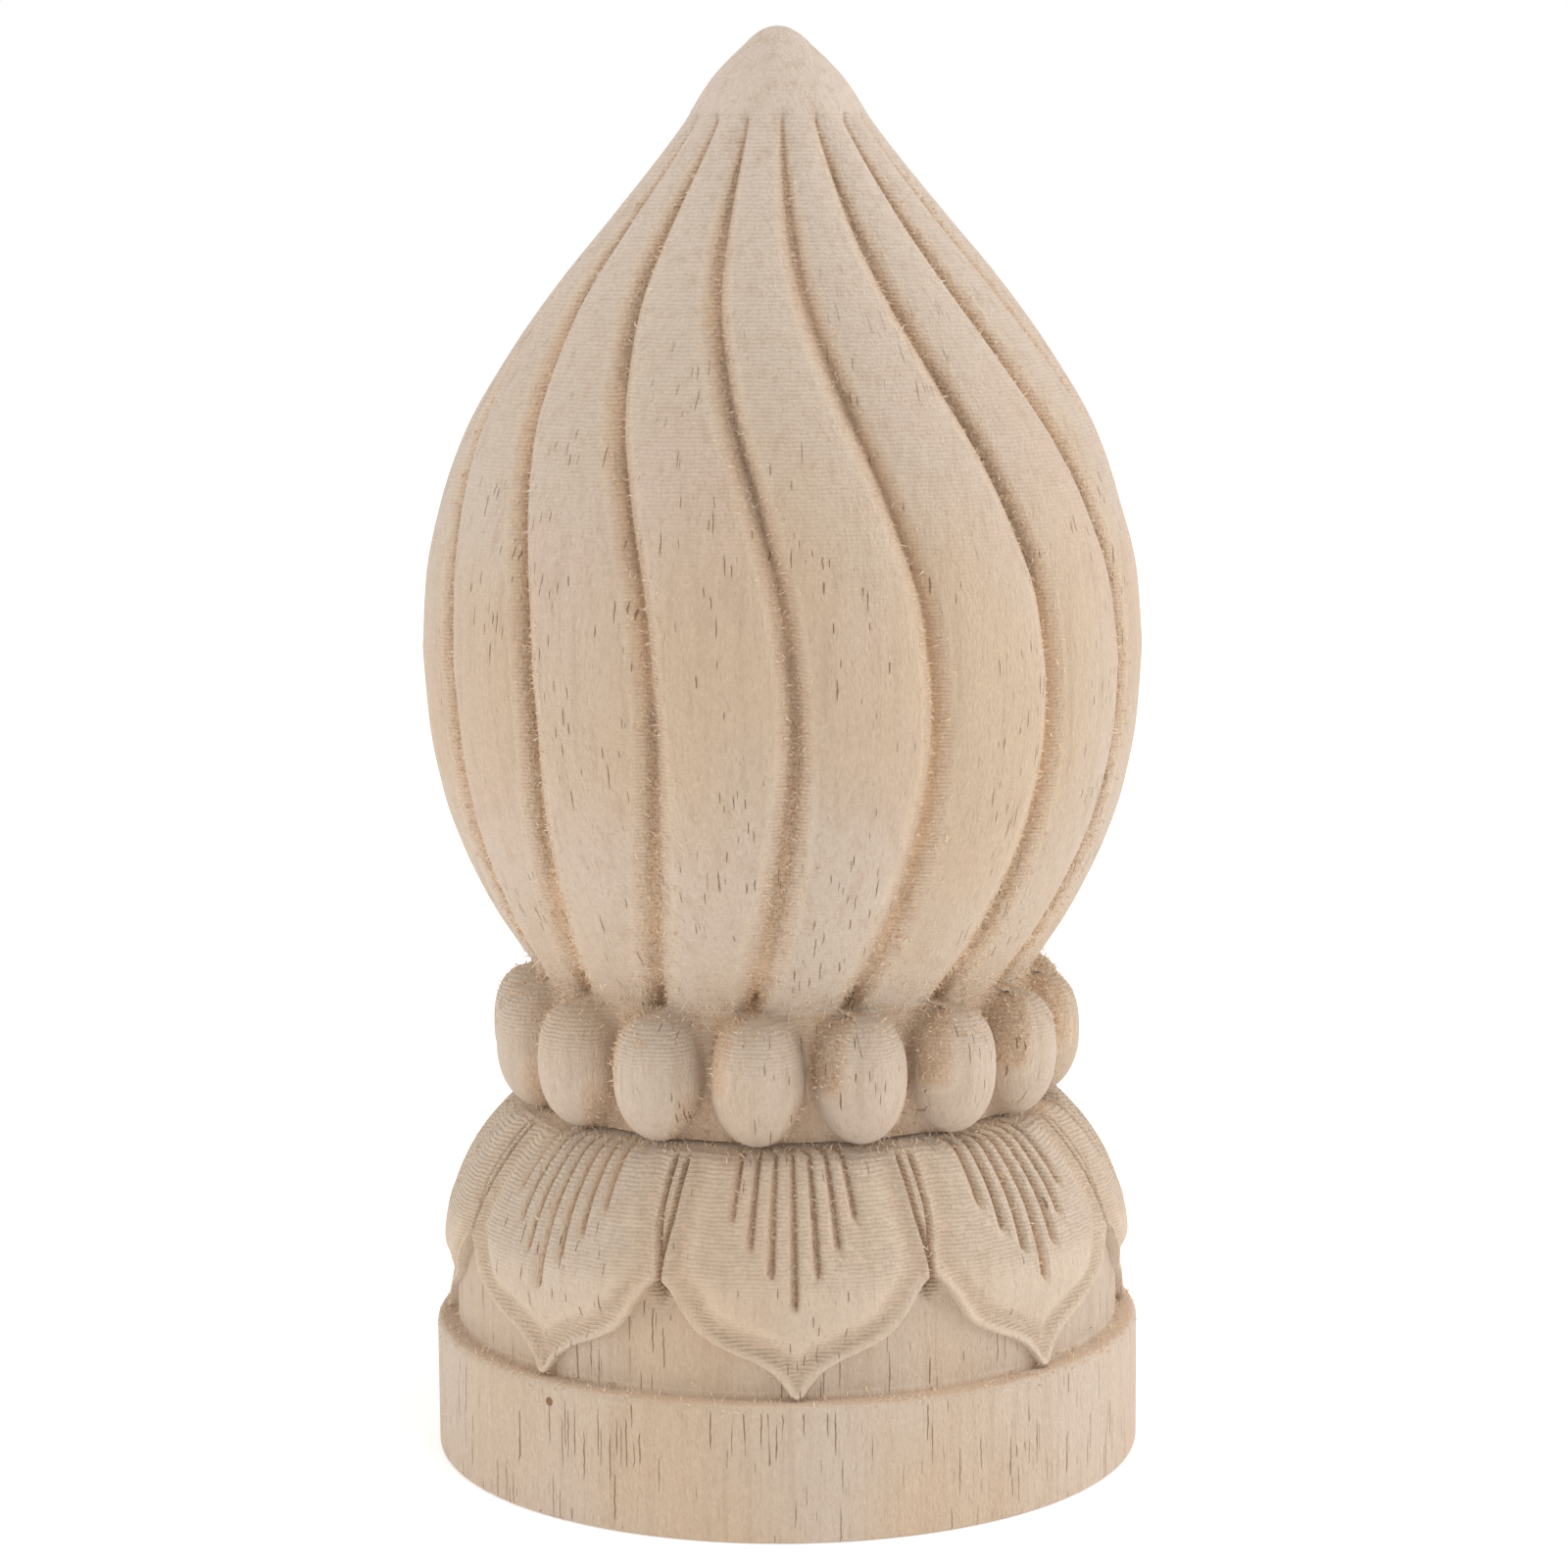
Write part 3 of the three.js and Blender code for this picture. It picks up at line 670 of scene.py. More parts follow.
def skin_mesh(name, rings):
    """One closed mesh from the flat underside, ring by ring, to the point at the tip."""
    def gather(key):
        return np.concatenate([r[key] for r in rings])

    angle = np.radians(gather("angle"))
    radius, z = gather("radius"), gather("z")
    points = np.stack([radius * np.sin(angle), -radius * np.cos(angle), z], 1)
    points = np.concatenate([[[0, 0, 0]], points, [[0, 0, FINIAL_HEIGHT]]]) * MM
    counts = [len(r["angle"]) for r in rings]
    firsts = 1 + np.concatenate([[0], np.cumsum(counts)[:-1]])
    faces = [[0, firsts[0] + (i + 1) % counts[0], firsts[0] + i] for i in range(counts[0])]
    for r in range(len(rings) - 1):
        if counts[r] == counts[r + 1]:
            faces += join_equal(firsts[r], firsts[r + 1], counts[r])
        else:
            faces += join_unequal(rings[r]["angle"], rings[r + 1]["angle"], firsts[r], firsts[r + 1])
    tip = len(points) - 1
    faces += [[firsts[-1] + i, firsts[-1] + (i + 1) % counts[-1], tip] for i in range(counts[-1])]
    mesh = bpy.data.meshes.new(name)
    mesh.from_pydata(points.tolist(), [], [[int(v) for v in face] for face in faces])
    mesh.update()
    mesh.shade_smooth()
    for key in ("groove", "rows"):
        store(mesh, key, np.concatenate([[0], gather(key), [0]]))
    return mesh


def store(mesh, name, values):
    """Keeps one number per vertex for the material to read."""
    mesh.attributes.new(name, "FLOAT", "POINT").data.foreach_set("value", values.astype(np.float32))


def make_piece(name, mesh, material):
    """Puts a mesh in the scene as a wooden piece that moves with the finial."""
    piece = bpy.data.objects.new(name, mesh)
    bpy.context.scene.collection.objects.link(piece)
    mesh.materials.append(material)
    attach(piece, "root")
    return piece


class Shader:
    """A short way to write node trees."""

    def __init__(self, name):
        self.material = bpy.data.materials.new(name)
        self.material.use_nodes = True
        self.tree = self.material.node_tree
        self.tree.nodes.clear()

    def node(self, kind, inputs=None, **settings):
        made = self.tree.nodes.new(kind)
        for key, value in settings.items():
            setattr(made, key, value)
        for key, value in (inputs or {}).items():
            if isinstance(value, bpy.types.NodeSocket):
                self.tree.links.new(value, made.inputs[key])
            else:
                made.inputs[key].default_value = value
        return made

    def math(self, operation, *values):
        return self.node("ShaderNodeMath", dict(enumerate(values)), operation=operation).outputs[0]

    def scaled(self, vector, scale):
        made = self.node("ShaderNodeVectorMath", {0: vector, 1: scale}, operation="MULTIPLY")
        return made.outputs[0]

    def millimetres(self):
        """Each point's place on the part, in millimetres."""
        place = self.node("ShaderNodeTexCoord").outputs["Object"]
        return self.scaled(place, (1 / MM, 1 / MM, 1 / MM))

    def noise(self, vector, scale, detail=2.0, roughness=0.5, warp=0.0):
        made = self.node("ShaderNodeTexNoise", {
            "Vector": vector, "Scale": scale, "Detail": detail, "Roughness": roughness, "Distortion": warp,
        })
        return made.outputs["Fac"]

    def grained(self, mm, stretch, *pattern):
        """Noise drawn out along the grain, or squeezed."""
        return self.noise(self.scaled(mm, stretch), *pattern)

    def cells(self, place, per_mm):
        """Distance to the nearest of many scattered dots on x and y, and each dot's own chance."""
        made = self.node("ShaderNodeTexVoronoi", {"Vector": place, "Scale": per_mm}, voronoi_dimensions="2D")
        chance = self.node("ShaderNodeSeparateColor", {"Color": made.outputs["Color"]}).outputs[0]
        return made.outputs["Distance"], chance

    def range(self, value, start, end, low=0.0, high=1.0):
        made = self.node("ShaderNodeMapRange", {
            "Value": value, "From Min": start, "From Max": end, "To Min": low, "To Max": high,
        }, interpolation_type="SMOOTHSTEP")
        return made.outputs["Result"]

    def mix(self, factor, first, second):
        return self.node("ShaderNodeMix", {0: factor, 6: first, 7: second}, data_type="RGBA").outputs[2]

    def attribute(self, name):
        return self.node("ShaderNodeAttribute", attribute_name=name).outputs["Fac"]

    def finish(self, kind, inputs):
        """Ends the tree in a shader and hands over the material."""
        shader = self.node(kind, inputs)
        self.node("ShaderNodeOutputMaterial", {"Surface": shader.outputs[0]})
        return self.material


# Noise in the wood: stretch on x, y and z if any, scale per millimetre, detail, roughness and warp
PATCHES = ((1.0, 1.0, 0.45), 0.05, 3.0)
BLUSHES = ((1.0, 1.0, 0.6), 0.035, 2.0, 0.5, 1.5)
STREAKS = ((1.0, 1.0, 0.03), 0.8, 4.0, 0.6)
FINE_FIBRES = ((1.0, 1.0, 0.10), 2.6, 3.0, 0.65)
GRAIN = ((1.0, 1.0, 0.45), 3.2, 2.0, 0.7)
PORE_WANDER = ((1.0, 1.0, 0.06), 0.12, 1.0)
PORE_RAGGEDNESS = ((1.0, 1.0, 0.5), 2.0, 1.0)
PORE_CROWDS = ((1.0, 1.0, 0.5), 0.10, 2.0)
VESSEL_BREAKS = ((1.3, 1.3, 0.14), 1.0, 1.0)
ROW_WOBBLE = ((1.0, 1.0, 0.5), 0.6, 1.0)
ROW_BREAKS = ((1.1, 1.1, 2.0), 0.9, 2.0, 0.6)
TORN_PATCHES = ((1.0, 1.0, 0.4), 0.10, 2.0)
TUFTS = (2.3, 3.0, 0.8)
TUFT_MIDDLE = 0.5
FIBRE_PATCHES = (1.5, 2.0)

# Fades by height in millimetres: where each starts and ends, and what it gives there if not 0 and 1
PALER_ABOVE = (88.0, 148.0, 0.0, 0.45)
PALER_FOOT = (92.0, 66.0, 0.0, 0.10)
DARKER_CUP = (48.0, 30.0, 0.0, -0.04)
BELLY_FROM = (70.0, 82.0)
DARKER_BELLY = (114.0, 98.0, 0.0, -0.08)
BLUSH_ABOVE = (50.0, 95.0, 0.25, 1.0)
ROSE_NOSE = (118.0, 150.0, 0.0, 0.85)
FEWER_PORES_ABOVE = (140.0, 115.0, 0.15, 1.0)
PALE_PETALS = (41.0, 38.0, 0.0, 0.16)
BELOW_LEDGE = (PLINTH_HEIGHT - 1.1, PLINTH_HEIGHT - 0.6, 1.0, 0.0)
ABOVE_LEDGE = (PLINTH_HEIGHT + 0.1, PLINTH_HEIGHT + 0.4)
LEDGE_EDGE = (PLINTH_HEIGHT - 0.35, PLINTH_HEIGHT - 0.05)
LEDGE_SHADE = (PLINTH_HEIGHT + 1.1, PLINTH_HEIGHT + 0.1, 0.0, 0.32)
DARKER_GROUND = (PLINTH_HEIGHT + 0.2, PLINTH_HEIGHT + 1.2, 0.0, 0.16)
# Where the valleys' bottoms get painted warm bounce light, with the ginger of their fuzz
GINGER_FROM = (NECK_BASE + 10.0, BALL_BASE)
GINGER_TO = (112.0, 78.0, 0.0, 0.80)
# Painted shade in the flutes' bottoms comes in below the neck
FLUTE_SHADE_BELOW_NECK = (NECK_BASE, NECK_BASE - 1.0, 0.0, 0.50)

# Fades by how deep in a groove a place lies: a painted highlight on the shoulders beside the grooves, painted
# shade and warm bounce light down in them, and pits painted dark
SHOULDER_HIGHLIGHT_FROM = (0.015, 0.08)
SHOULDER_HIGHLIGHT_TO = (0.25, 0.10, 0.0, 0.18)
GROOVE_TINT = (0.06, 0.50, 0.0, 0.85)
TORN_FROM = (0.16, 0.55)
GINGER_BOTTOM = (0.40, 0.90)
FLUTE_BOTTOM = (0.45, 1.0)
PIT_SHADE_FADE = (1.12, 1.55, 0.0, 0.75)

# Fades by how clear the tool's rows are, and by the rows' own height, which paints shade in their troughs and
# a highlight on their crests
PLAIN_FACE = (0.02, 0.08, 1.0, 0.0)
CARVED_FACE = (0.05, 0.14)
ROW_TROUGH_SHADE = (-1.3 * TOOL_ROW_HEIGHT, 0.0, 0.26, 0.0)
ROW_CREST_HIGHLIGHT = (0.0, 1.3 * TOOL_ROW_HEIGHT, 0.0, 0.30)

# Fades by noise or by chance
CREAM_PATCH = (0.39, 0.72)
BLUSH_PATCH = (0.46, 0.70, 0.0, 0.40)
DARK_STREAK = (0.45, 0.75, 0.0, 0.50)
DARK_FIBRE = (0.50, 0.75, 0.0, 0.45)
DARK_GRAIN = (0.52, 0.72, 0.0, 0.30)
PALE_GRAIN = (0.47, 0.30, 0.0, 0.22)
DARK_TUFT = (0.51, 0.63, 0.0, 0.68)
PALE_TUFT = (0.48, 0.37, 0.0, 0.90)
TORN_PATCH = (0.35, 0.60, 0.35, 1.0)
BROKEN_ROW = (0.32, 0.52, 0.30, 1.0)
PORE_CROWD = (0.38, 0.62, -0.35, 0.20)
BROWNER_FIBRE = (0.42, 0.62)
WIDEST_PORE_AT = 1.05
VESSEL_CHANCE = (0.15, 1.0)
BROKEN_VESSEL = (0.50, 0.56)

# Edges of the pores, as shares of a cell, and of the dark speck, in millimetres
PORE_EDGE = (0.0, 0.04)
SPECK_EDGE = (0.54, 0.40, 0.0, 1.2)

# How far each mark wanders or stands out, in millimetres, and how dark the pores are
PORE_WANDER_WIDTH = 3.0
PORE_RAGGED_WIDTH = 0.25
VESSEL_SLANT_SCALE = 0.03
VESSEL_SLANT = (6.0, 6.0, 0.0)
ROW_WOBBLE_HEIGHT = 0.35
FIBRE_RELIEF = 0.14
GRAIN_RELIEF = 0.27
TORN_RELIEF = 0.70
PORE_RELIEF = 0.15
PORE_DARKNESS = 0.82


def wood_tone(s, mm, height):
    """Tan and cream patches, paler near the ball's foot and tip, with upright streaks and fine fibres."""
    paler = s.math("ADD", s.range(height, *PALER_ABOVE), s.range(height, *PALER_FOOT))
    paler = s.math("ADD", paler, s.range(height, *DARKER_CUP))
    belly = s.math("MULTIPLY", s.range(height, *BELLY_FROM), s.range(height, *DARKER_BELLY))
    paler = s.math("ADD", paler, belly)
    colour = s.mix(s.range(s.math("ADD", s.grained(mm, *PATCHES), paler), *CREAM_PATCH), TAN, CREAM)
    blush = s.range(s.grained(mm, *BLUSHES), *BLUSH_PATCH)
    colour = s.mix(s.math("MULTIPLY", blush, s.range(height, *BLUSH_ABOVE)), colour, BLUSH)
    colour = s.mix(s.range(height, *ROSE_NOSE), colour, ROSE)
    colour = s.mix(s.range(s.grained(mm, *STREAKS), *DARK_STREAK), colour, STREAK_AND_SHADE)
    fibre = s.grained(mm, *FINE_FIBRES)
    return s.mix(s.range(fibre, *DARK_FIBRE), colour, STREAK_AND_SHADE), fibre


def opened_pores(s, mm, height, cells_per_mm, width, length, rare, swarm):
    """Upright dashes where the cut runs along the wood's tubes, in loose swarms."""
    parts = s.node("ShaderNodeSeparateXYZ", {"Vector": mm}).outputs
    turn = s.math("ARCTAN2", parts[0], s.math("MULTIPLY", parts[1], -1.0))
    wander = s.math("MULTIPLY", s.grained(mm, *PORE_WANDER), PORE_WANDER_WIDTH)
    ragged = s.math("MULTIPLY", s.grained(mm, *PORE_RAGGEDNESS), PORE_RAGGED_WIDTH)
    around = s.math("ADD", s.math("MULTIPLY", turn, GROUND_RADIUS), s.math("ADD", wander, ragged))
    flat = s.node("ShaderNodeCombineXYZ", {"X": around, "Y": s.math("MULTIPLY", height, width / length)})
    distance, chance = s.cells(flat.outputs[0], cells_per_mm)
    crowd = s.range(s.grained(mm, *PORE_CROWDS), *PORE_CROWD)
    from_swarm = s.math("ABSOLUTE", s.math("SUBTRACT", turn, SWARM_AT))
    crowd = s.math("ADD", crowd, s.range(from_swarm, SWARM_WIDTH, 0.0, 0.0, swarm))
    radius = s.range(s.math("ADD", chance, crowd), rare, WIDEST_PORE_AT, 0.0, width / 2 * cells_per_mm)
    return s.range(s.math("SUBTRACT", radius, distance), *PORE_EDGE)


def vessels(s, mm):
    """Fine tubes that run up through the block: dots on level cuts and long lines on upright ones."""
    wander = s.node("ShaderNodeTexNoise", {"Vector": mm, "Scale": VESSEL_SLANT_SCALE, "Detail": 1.0})
    bent = s.node("ShaderNodeVectorMath", {0: wander.outputs["Color"], 1: VESSEL_SLANT, 2: mm},
                  operation="MULTIPLY_ADD")
    distance, chance = s.cells(bent.outputs[0], VESSELS_PER_MM)
    radius = s.range(chance, *VESSEL_CHANCE, 0.0, VESSEL_RADIUS * VESSELS_PER_MM)
    broken = s.range(s.grained(mm, *VESSEL_BREAKS), *BROKEN_VESSEL)
    return s.range(s.math("SUBTRACT", s.math("MULTIPLY", radius, broken), distance), *PORE_EDGE)


def tool_rows(s, mm, height, clear):
    """Level rows left by the carving tool, wavy and broken by torn fibres."""
    wobble = s.math("MULTIPLY", s.grained(mm, *ROW_WOBBLE), ROW_WOBBLE_HEIGHT)
    wave = s.math("SINE", s.math("MULTIPLY", s.math("ADD", height, wobble), 2 * math.pi / TOOL_ROW))
    broken = s.range(s.grained(mm, *ROW_BREAKS), *BROKEN_ROW)
    strength = s.math("MULTIPLY", broken, clear)
    return s.math("MULTIPLY", s.math("MULTIPLY", wave, strength), TOOL_ROW_HEIGHT)


def torn_wood(s, mm, groove):
    """Where fibres are torn up down in the grooves, and the tufts that they stand in, both from 0 to 1."""
    patch = s.range(s.grained(mm, *TORN_PATCHES), *TORN_PATCH)
    return s.math("MULTIPLY", s.range(groove, *TORN_FROM), patch), s.noise(mm, *TUFTS)


def grain_marks(s, mm, height, clear):
    """Open pores: long broken lines on the plain upright faces and short dashes on the carved ones."""
    plain = s.range(clear, *PLAIN_FACE)
    lines = s.math("MAXIMUM", opened_pores(s, mm, height, **FACE_PORES), vessels(s, mm))
    from_speck = s.node("ShaderNodeVectorMath", {0: mm, 1: DARK_SPECK}, operation="DISTANCE").outputs["Value"]
    lines = s.math("MAXIMUM", lines, s.range(from_speck, *SPECK_EDGE))
    off_ledge = s.math("MAXIMUM", s.range(height, *BELOW_LEDGE), s.range(height, *ABOVE_LEDGE))
    lines = s.math("MULTIPLY", lines, off_ledge)
    long, short = (opened_pores(s, mm, height, **pores) for pores in (LONG_PORES, SHORT_PORES))
    dashes = s.math("MULTIPLY", s.math("MAXIMUM", long, short), s.range(height, *FEWER_PORES_ABOVE))
    return s.math("MAXIMUM", s.math("MULTIPLY", lines, plain),
                  s.math("MULTIPLY", dashes, s.math("SUBTRACT", 1.0, plain)))


def face_tints(s, colour, height, clear):
    """The petals a little paler, and the ground below them darker."""
    on_petals = s.math("MULTIPLY", s.range(height, *PALE_PETALS), s.range(clear, *CARVED_FACE))
    colour = s.mix(on_petals, colour, PALE_AND_HIGHLIGHT)
    on_ground = s.math("MULTIPLY", s.range(height, *DARKER_GROUND), s.range(clear, *PLAIN_FACE))
    return s.mix(on_ground, colour, STREAK_AND_SHADE)


def groove_tints(s, colour, height, groove):
    """Painted highlight on the shoulders beside the grooves, painted warm bounce light and shade down in them
    with the brown of their torn wood, and painted shade in the flutes.
    """
    # Painted highlight: the shoulders beside each groove are made paler
    shoulder_highlight = s.math("MULTIPLY", s.range(groove, *SHOULDER_HIGHLIGHT_FROM), s.range(groove, *SHOULDER_HIGHLIGHT_TO))
    colour = s.mix(shoulder_highlight, colour, PALE_AND_HIGHLIGHT)
    # Painted warm bounce light and shade down in the grooves, partly the brown of their torn wood
    colour = s.mix(s.range(groove, *GROOVE_TINT), colour, GROOVE_BROWN_AND_BOUNCE)
    # Painted warm bounce light in the valleys' bottoms, partly the ginger of their torn fuzz
    bottom = s.math("MULTIPLY", s.range(groove, *GINGER_BOTTOM), s.range(height, *GINGER_TO))
    bottom = s.math("MULTIPLY", bottom, s.range(height, *GINGER_FROM))
    colour = s.mix(bottom, colour, GINGER_FUZZ_AND_BOUNCE)
    # Painted shade in the flutes' bottoms, below the neck
    flute = s.math("MULTIPLY", s.range(groove, *FLUTE_BOTTOM), s.range(height, *FLUTE_SHADE_BELOW_NECK))
    return s.mix(flute, colour, TORN_BROWN_AND_SHADE)


def wood_material():
    s = Shader("carved_wood")
    mm = s.millimetres()
    height = s.node("ShaderNodeSeparateXYZ", {"Vector": mm}).outputs[2]
    # The crease at the ledge counts as a groove, for its painted shade and warm bounce light, with some torn
    # wood there
    ledge = s.math("MULTIPLY", s.range(height, *LEDGE_EDGE), s.range(height, *LEDGE_SHADE))
    groove = s.math("MAXIMUM", s.attribute("groove"), ledge)
    clear = s.attribute("rows")
    pore = grain_marks(s, mm, height, clear)
    torn, tufts = torn_wood(s, mm, groove)
    rows = tool_rows(s, mm, height, clear)
    grain = s.grained(mm, *GRAIN)

    colour, fibre = wood_tone(s, mm, height)
    colour = face_tints(s, colour, height, clear)
    colour = groove_tints(s, colour, height, groove)
    colour = s.mix(s.math("MULTIPLY", torn, s.range(tufts, *DARK_TUFT)), colour, TORN_BROWN_AND_SHADE)
    colour = s.mix(s.math("MULTIPLY", torn, s.range(tufts, *PALE_TUFT)), colour, PALE_AND_HIGHLIGHT)
    colour = s.mix(s.range(grain, *DARK_GRAIN), colour, STREAK_AND_SHADE)
    colour = s.mix(s.range(grain, *PALE_GRAIN), colour, PALE_AND_HIGHLIGHT)
    # Painted shade: pits, pockets and the deepest bottoms of flutes and seams are made dark
    colour = s.mix(s.range(groove, *PIT_SHADE_FADE), colour, PIT_SHADE)
    colour = s.mix(s.math("MULTIPLY", pore, PORE_DARKNESS), colour, PORE)
    # Painted shade in the tool rows' troughs and a painted highlight on their crests
    colour = s.mix(s.range(rows, *ROW_TROUGH_SHADE), colour, STREAK_AND_SHADE)
    colour = s.mix(s.range(rows, *ROW_CREST_HIGHLIGHT), colour, PALE_AND_HIGHLIGHT)

    relief = s.math("ADD", rows, s.math("MULTIPLY", fibre, FIBRE_RELIEF))
    relief = s.math("ADD", relief, s.math("MULTIPLY", grain, GRAIN_RELIEF))
    rough = s.math("MULTIPLY", torn, s.math("SUBTRACT", tufts, TUFT_MIDDLE))
    relief = s.math("SUBTRACT", relief, s.math("MULTIPLY", rough, TORN_RELIEF))
    relief = s.math("SUBTRACT", relief, s.math("MULTIPLY", pore, PORE_RELIEF))
    bump = s.node("ShaderNodeBump", {"Height": relief, "Distance": MM, "Strength": 1.0})
    return s.finish("ShaderNodeBsdfPrincipled", {
        "Base Color": colour, "Roughness": 0.80, "Specular IOR Level": 0.30, "Sheen Weight": 0.12,
        "Sheen Roughness": 0.5, "Normal": bump.outputs["Normal"],
    })


def fibre_material():
    s = Shader("torn_fibres")
    colour = s.mix(s.range(s.noise(s.millimetres(), *FIBRE_PATCHES), *BROWNER_FIBRE), FIBRE, GROOVE_BROWN_AND_BOUNCE)
    return s.finish("ShaderNodeBsdfPrincipled", {
        "Base Color": colour, "Roughness": 0.8, "Specular IOR Level": 0.3,
    })


def floor_material():
    s = Shader("floor_white")
    return s.finish("ShaderNodeBsdfPrincipled", {
        "Base Color": FLOOR_WHITE, "Roughness": 0.9, "Specular IOR Level": 0.1,
        "Emission Color": (1, 1, 1, 1), "Emission Strength": FLOOR_GLOW,
    })


def make_finial():
    rings = plinth_rings() + petal_rings() + bead_rings() + ball_rings() + tip_rings()
    mesh = skin_mesh("carved_finial", rings)
    piece = make_piece("carved_finial", mesh, wood_material())
    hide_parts(NODE)
    return mesh


# How thick the torn fibres stand on each part, and over which grooves or heights they come in
VALLEY_TUFTS = [(55, 3.2), (60, 3.0), (64, 2.2), (80, 1.4), (100, 1.0), (140, 0.8), (150, 0.1)]
VALLEY_TUFTS_FADE = (0.05, 0.25)
VALLEY_BOTTOM_THINNING = 0.5
VALLEY_BOTTOM_FADE = (0.6, 0.95)
BALL_FOOT_TUFTS = 2.0
BALL_FOOT_TUFTS_FADE = (BALL_BASE + 1, BALL_BASE + 4)
BEAD_GAP_TUFTS = 1.8
BEAD_GAP_TUFTS_FADE = (0.1, 0.4)
BEAD_TOP_TUFTS = 1.2
BEAD_TOP_TUFTS_FADE = (NECK_BASE + 10, NECK_BASE + 13.5)
PETAL_TUFTS = 0.8
PETAL_TUFTS_FADE = (0.25, 0.6)
CUP_TOP_TUFTS = 2.6
CUP_TOP_TUFTS_FADE = (NECK_BASE - 1.2, NECK_BASE - 0.2)
LEDGE_TUFTS = 1.1
LEDGE_TUFTS_RISE = 0.2
LEDGE_TUFTS_REACH = 0.7


def tuft_density(middle, groove):
    """How thick torn fibres stand: on the valleys' flanks, round the beads and in the petals' cuts."""
    z = middle[:, 2] / MM
    thinning = 1 - VALLEY_BOTTOM_THINNING * smoothstep(*VALLEY_BOTTOM_FADE, groove)
    flank = smoothstep(*VALLEY_TUFTS_FADE, groove) * thinning
    on_ball = np.interp(z, *np.transpose(VALLEY_TUFTS)) * flank
    on_ball = on_ball + BALL_FOOT_TUFTS * (1 - smoothstep(*BALL_FOOT_TUFTS_FADE, z))
    on_beads = BEAD_GAP_TUFTS * smoothstep(*BEAD_GAP_TUFTS_FADE, groove)
    on_beads = on_beads + BEAD_TOP_TUFTS * smoothstep(*BEAD_TOP_TUFTS_FADE, z)
    on_cup = PETAL_TUFTS * smoothstep(*PETAL_TUFTS_FADE, groove)
    on_cup = on_cup + CUP_TOP_TUFTS * smoothstep(*CUP_TOP_TUFTS_FADE, z)
    from_ledge = (z - PLINTH_HEIGHT - LEDGE_TUFTS_RISE) / LEDGE_TUFTS_REACH
    on_cup = on_cup + LEDGE_TUFTS * np.exp(-from_ledge ** 2)
    return np.where(z > BALL_BASE, on_ball, np.where(z > NECK_BASE, on_beads, on_cup))


def across_from(direction, random):
    """A unit vector square to each direction, turned at random."""
    side = np.cross(direction, random.normal(0, 1, direction.shape))
    return side / np.linalg.norm(side, axis=1, keepdims=True)


def fibre_points(root, lean, length, random):
    """Bent slivers: three points at the root, three at the bend and one at the end."""
    side = across_from(lean, random)
    other = np.cross(lean, side)
    turned = lean + FIBRE_BEND * across_from(lean, random)
    turned /= np.linalg.norm(turned, axis=1, keepdims=True)
    bend = root + lean * length / 2
    thirds = [math.radians(angle) for angle in (0, 120, 240)]
    corners = [side * math.cos(angle) + other * math.sin(angle) for angle in thirds]
    half = FIBRE_WIDTH / 2 * MM
    foot = [root + half * corner for corner in corners]
    middle = [bend + FIBRE_TAPER * half * corner for corner in corners]
    return np.stack([*foot, *middle, bend + turned * length / 2], 1)


def fibre_faces(points_each):
    """Corners of every fibre's faces: three sides and a foot below the bend, and three sides above it."""
    sides = [[i, (i + 1) % 3, (i + 1) % 3 + 3, i + 3] for i in range(3)]
    ends = [[0, 2, 1]] + [[i + 3, (i + 1) % 3 + 3, 6] for i in range(3)]
    faces = []
    for shape in sides + ends:
        faces += (points_each * np.arange(FIBRE_COUNT)[:, None] + shape).tolist()
    return faces


def skin_faces(skin):
    """Middle, normal and area of each of the skin's faces, and how deep in a groove it lies."""
    count = len(skin.polygons)
    middle, normal, area = np.empty(3 * count), np.empty(3 * count), np.empty(count)
    skin.polygons.foreach_get("center", middle)
    skin.polygons.foreach_get("normal", normal)
    skin.polygons.foreach_get("area", area)
    groove = np.empty(len(skin.vertices), np.float32)
    skin.attributes["groove"].data.foreach_get("value", groove)
    first_corner = np.array([polygon.vertices[0] for polygon in skin.polygons])
    return middle.reshape(-1, 3), normal.reshape(-1, 3), area, groove[first_corner]


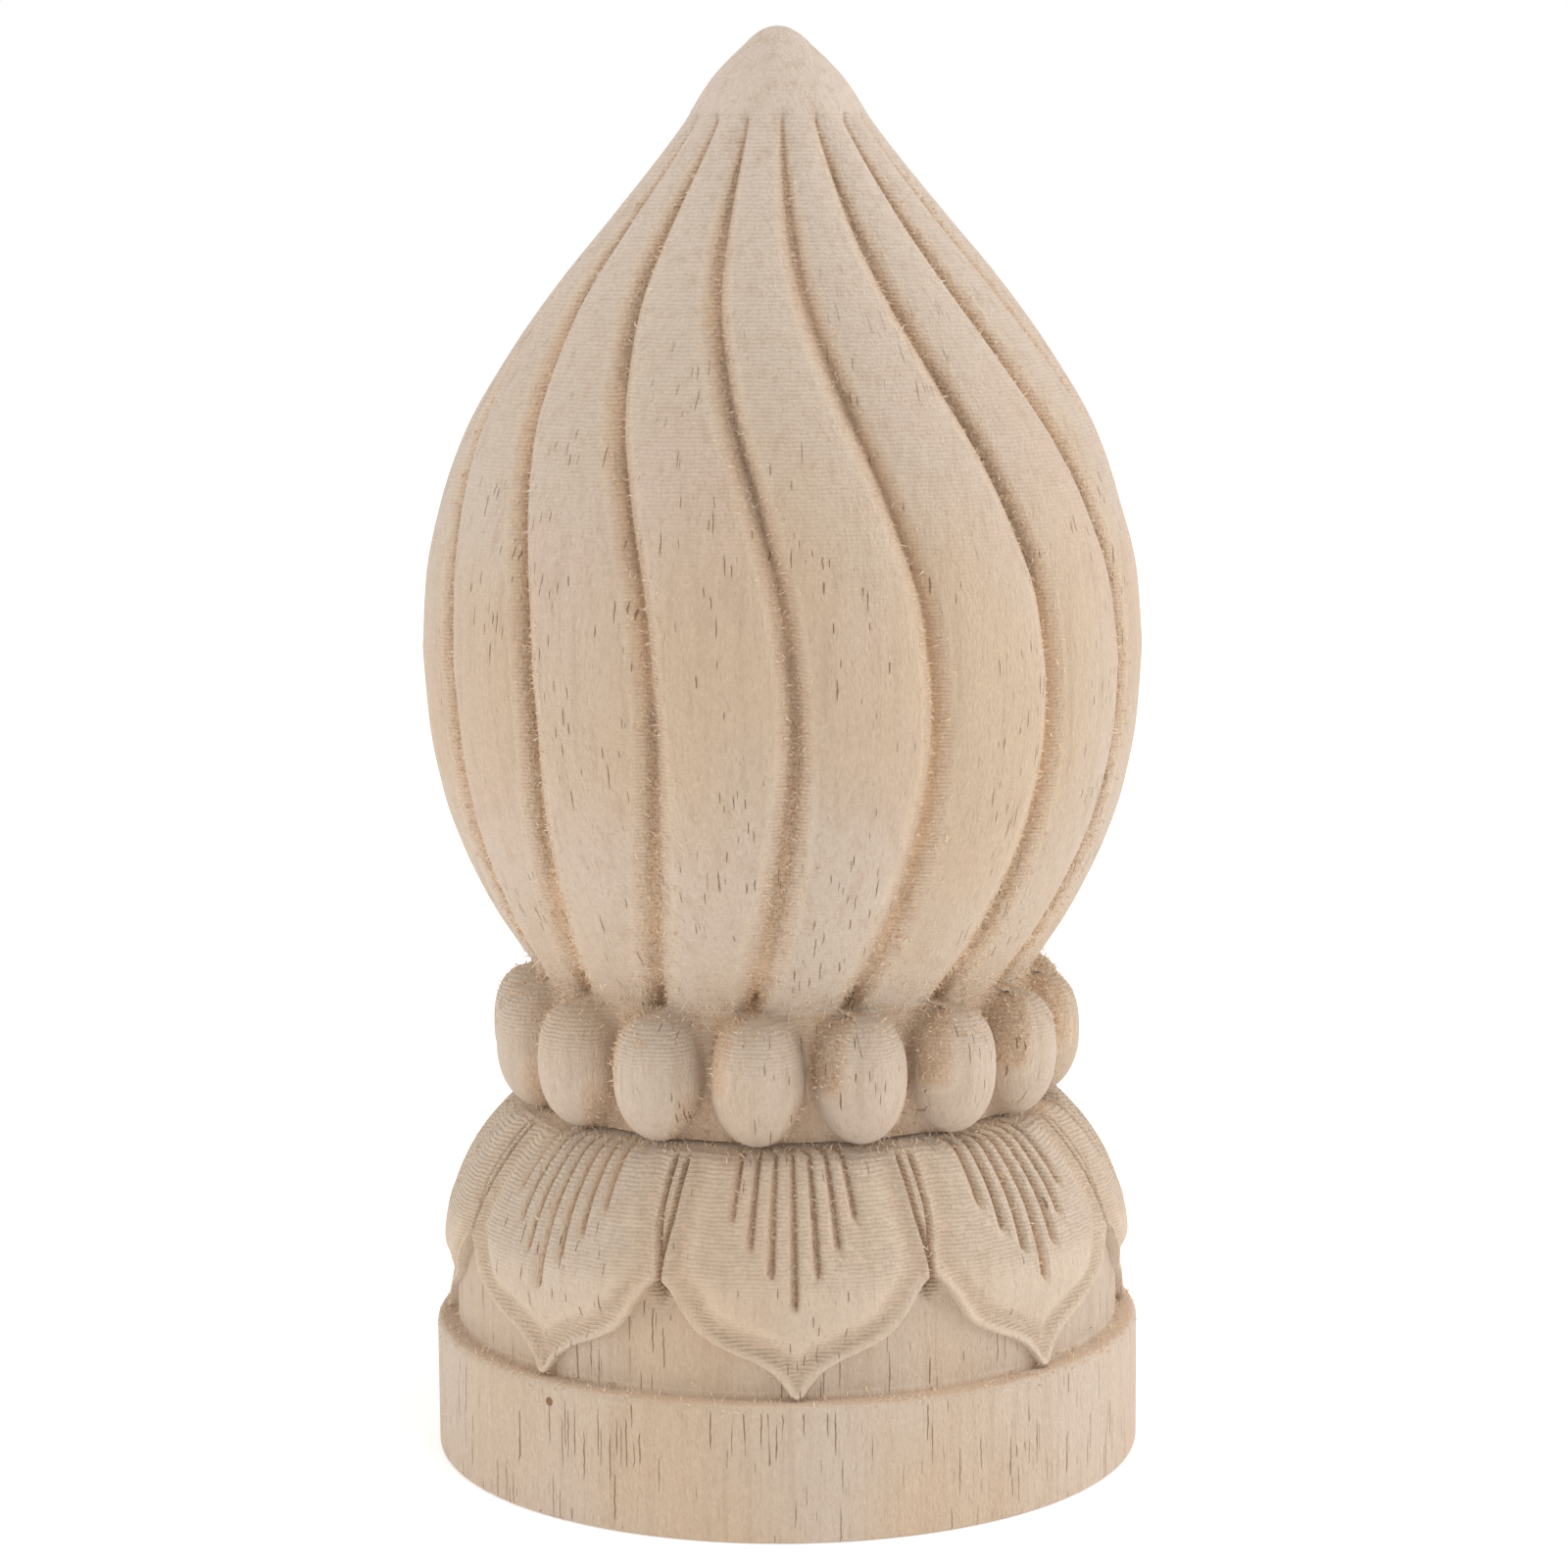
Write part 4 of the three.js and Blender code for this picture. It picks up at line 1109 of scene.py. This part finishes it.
def make_fibres(skin):
    """Short torn fibres, each a closed bent sliver that stands on the skin."""
    random = np.random.default_rng(FIBRE_SEED)
    middle, normal, area, groove = skin_faces(skin)
    chance = tuft_density(middle, groove) * area
    at = random.choice(len(area), FIBRE_COUNT, p=chance / chance.sum())
    middle, normal, area = middle[at], normal[at], area[at]

    jitter = random.normal(0, 1, (FIBRE_COUNT, 3))
    sideways = jitter - normal * (jitter * normal).sum(1, keepdims=True)
    root = middle + sideways * np.sqrt(area)[:, None] * FIBRE_SCATTER - normal * FIBRE_SINK * MM
    tangle = random.normal(0, FIBRE_TANGLE, (FIBRE_COUNT, 3))
    lean = normal * FIBRE_UPRIGHT + tangle + np.array([0, 0, -FIBRE_DROOP])
    lean /= np.linalg.norm(lean, axis=1, keepdims=True)
    share = random.uniform(FIBRE_SHORTEST, 1.0, FIBRE_COUNT) ** FIBRE_SHORTENING
    length = (FIBRE_SINK + FIBRE_LENGTH * share) * MM
    points = fibre_points(root, lean, length[:, None], random)

    mesh = bpy.data.meshes.new("torn_fibres")
    mesh.from_pydata(points.reshape(-1, 3).tolist(), [], fibre_faces(points.shape[1]))
    mesh.update()
    make_piece("torn_fibres", mesh, fibre_material())


def make_stage():
    bpy.ops.mesh.primitive_plane_add(size=FLOOR_SIZE, location=(0, 0, 0))
    floor = bpy.context.object
    floor.name = "floor"
    floor.data.materials.append(floor_material())


def make_lamp(name, place, size, power):
    light = bpy.data.lights.new(name, "AREA")
    light.shape = "DISK"
    light.size = size
    light.energy = power
    lamp = bpy.data.objects.new(name, light)
    bpy.context.scene.collection.objects.link(lamp)
    lamp.location = place
    lamp.rotation_euler = (Vector(LAMP_TARGET) - Vector(place)).to_track_quat("-Z", "Y").to_euler()


def make_lights():
    """A white backdrop for the camera that lights the wood with less than its own brightness, and lamps."""
    world = bpy.data.worlds.new("studio")
    bpy.context.scene.world = world
    world.use_nodes = True
    nodes, links = world.node_tree.nodes, world.node_tree.links
    background = nodes["Background"]
    background.inputs["Color"].default_value = (1, 1, 1, 1)
    strength = nodes.new("ShaderNodeMapRange")
    strength.inputs["To Min"].default_value = ROOM_LIGHT
    strength.inputs["To Max"].default_value = BACKDROP
    links.new(nodes.new("ShaderNodeLightPath").outputs["Is Camera Ray"], strength.inputs["Value"])
    links.new(strength.outputs["Result"], background.inputs["Strength"])
    for name, (place, size, power) in LAMPS.items():
        make_lamp(name, place, size, power)


def make_camera():
    data = bpy.data.cameras.new("camera")
    data.lens = CAMERA_LENS
    data.sensor_width = CAMERA_SENSOR
    camera = bpy.data.objects.new("camera", data)
    bpy.context.scene.collection.objects.link(camera)
    camera.location = (CAMERA_ASIDE, -CAMERA_DISTANCE, CAMERA_HEIGHT)
    camera.rotation_mode = "XYZ"
    camera.rotation_euler = (math.radians(90 - CAMERA_PITCH), 0, 0)
    camera.rotation_euler.rotate_axis("Z", math.radians(CAMERA_ROLL))
    bpy.context.scene.camera = camera


make_camera()
make_lights()
make_stage()
make_fibres(make_finial())
bpy.context.scene.view_settings.view_transform = "Standard"
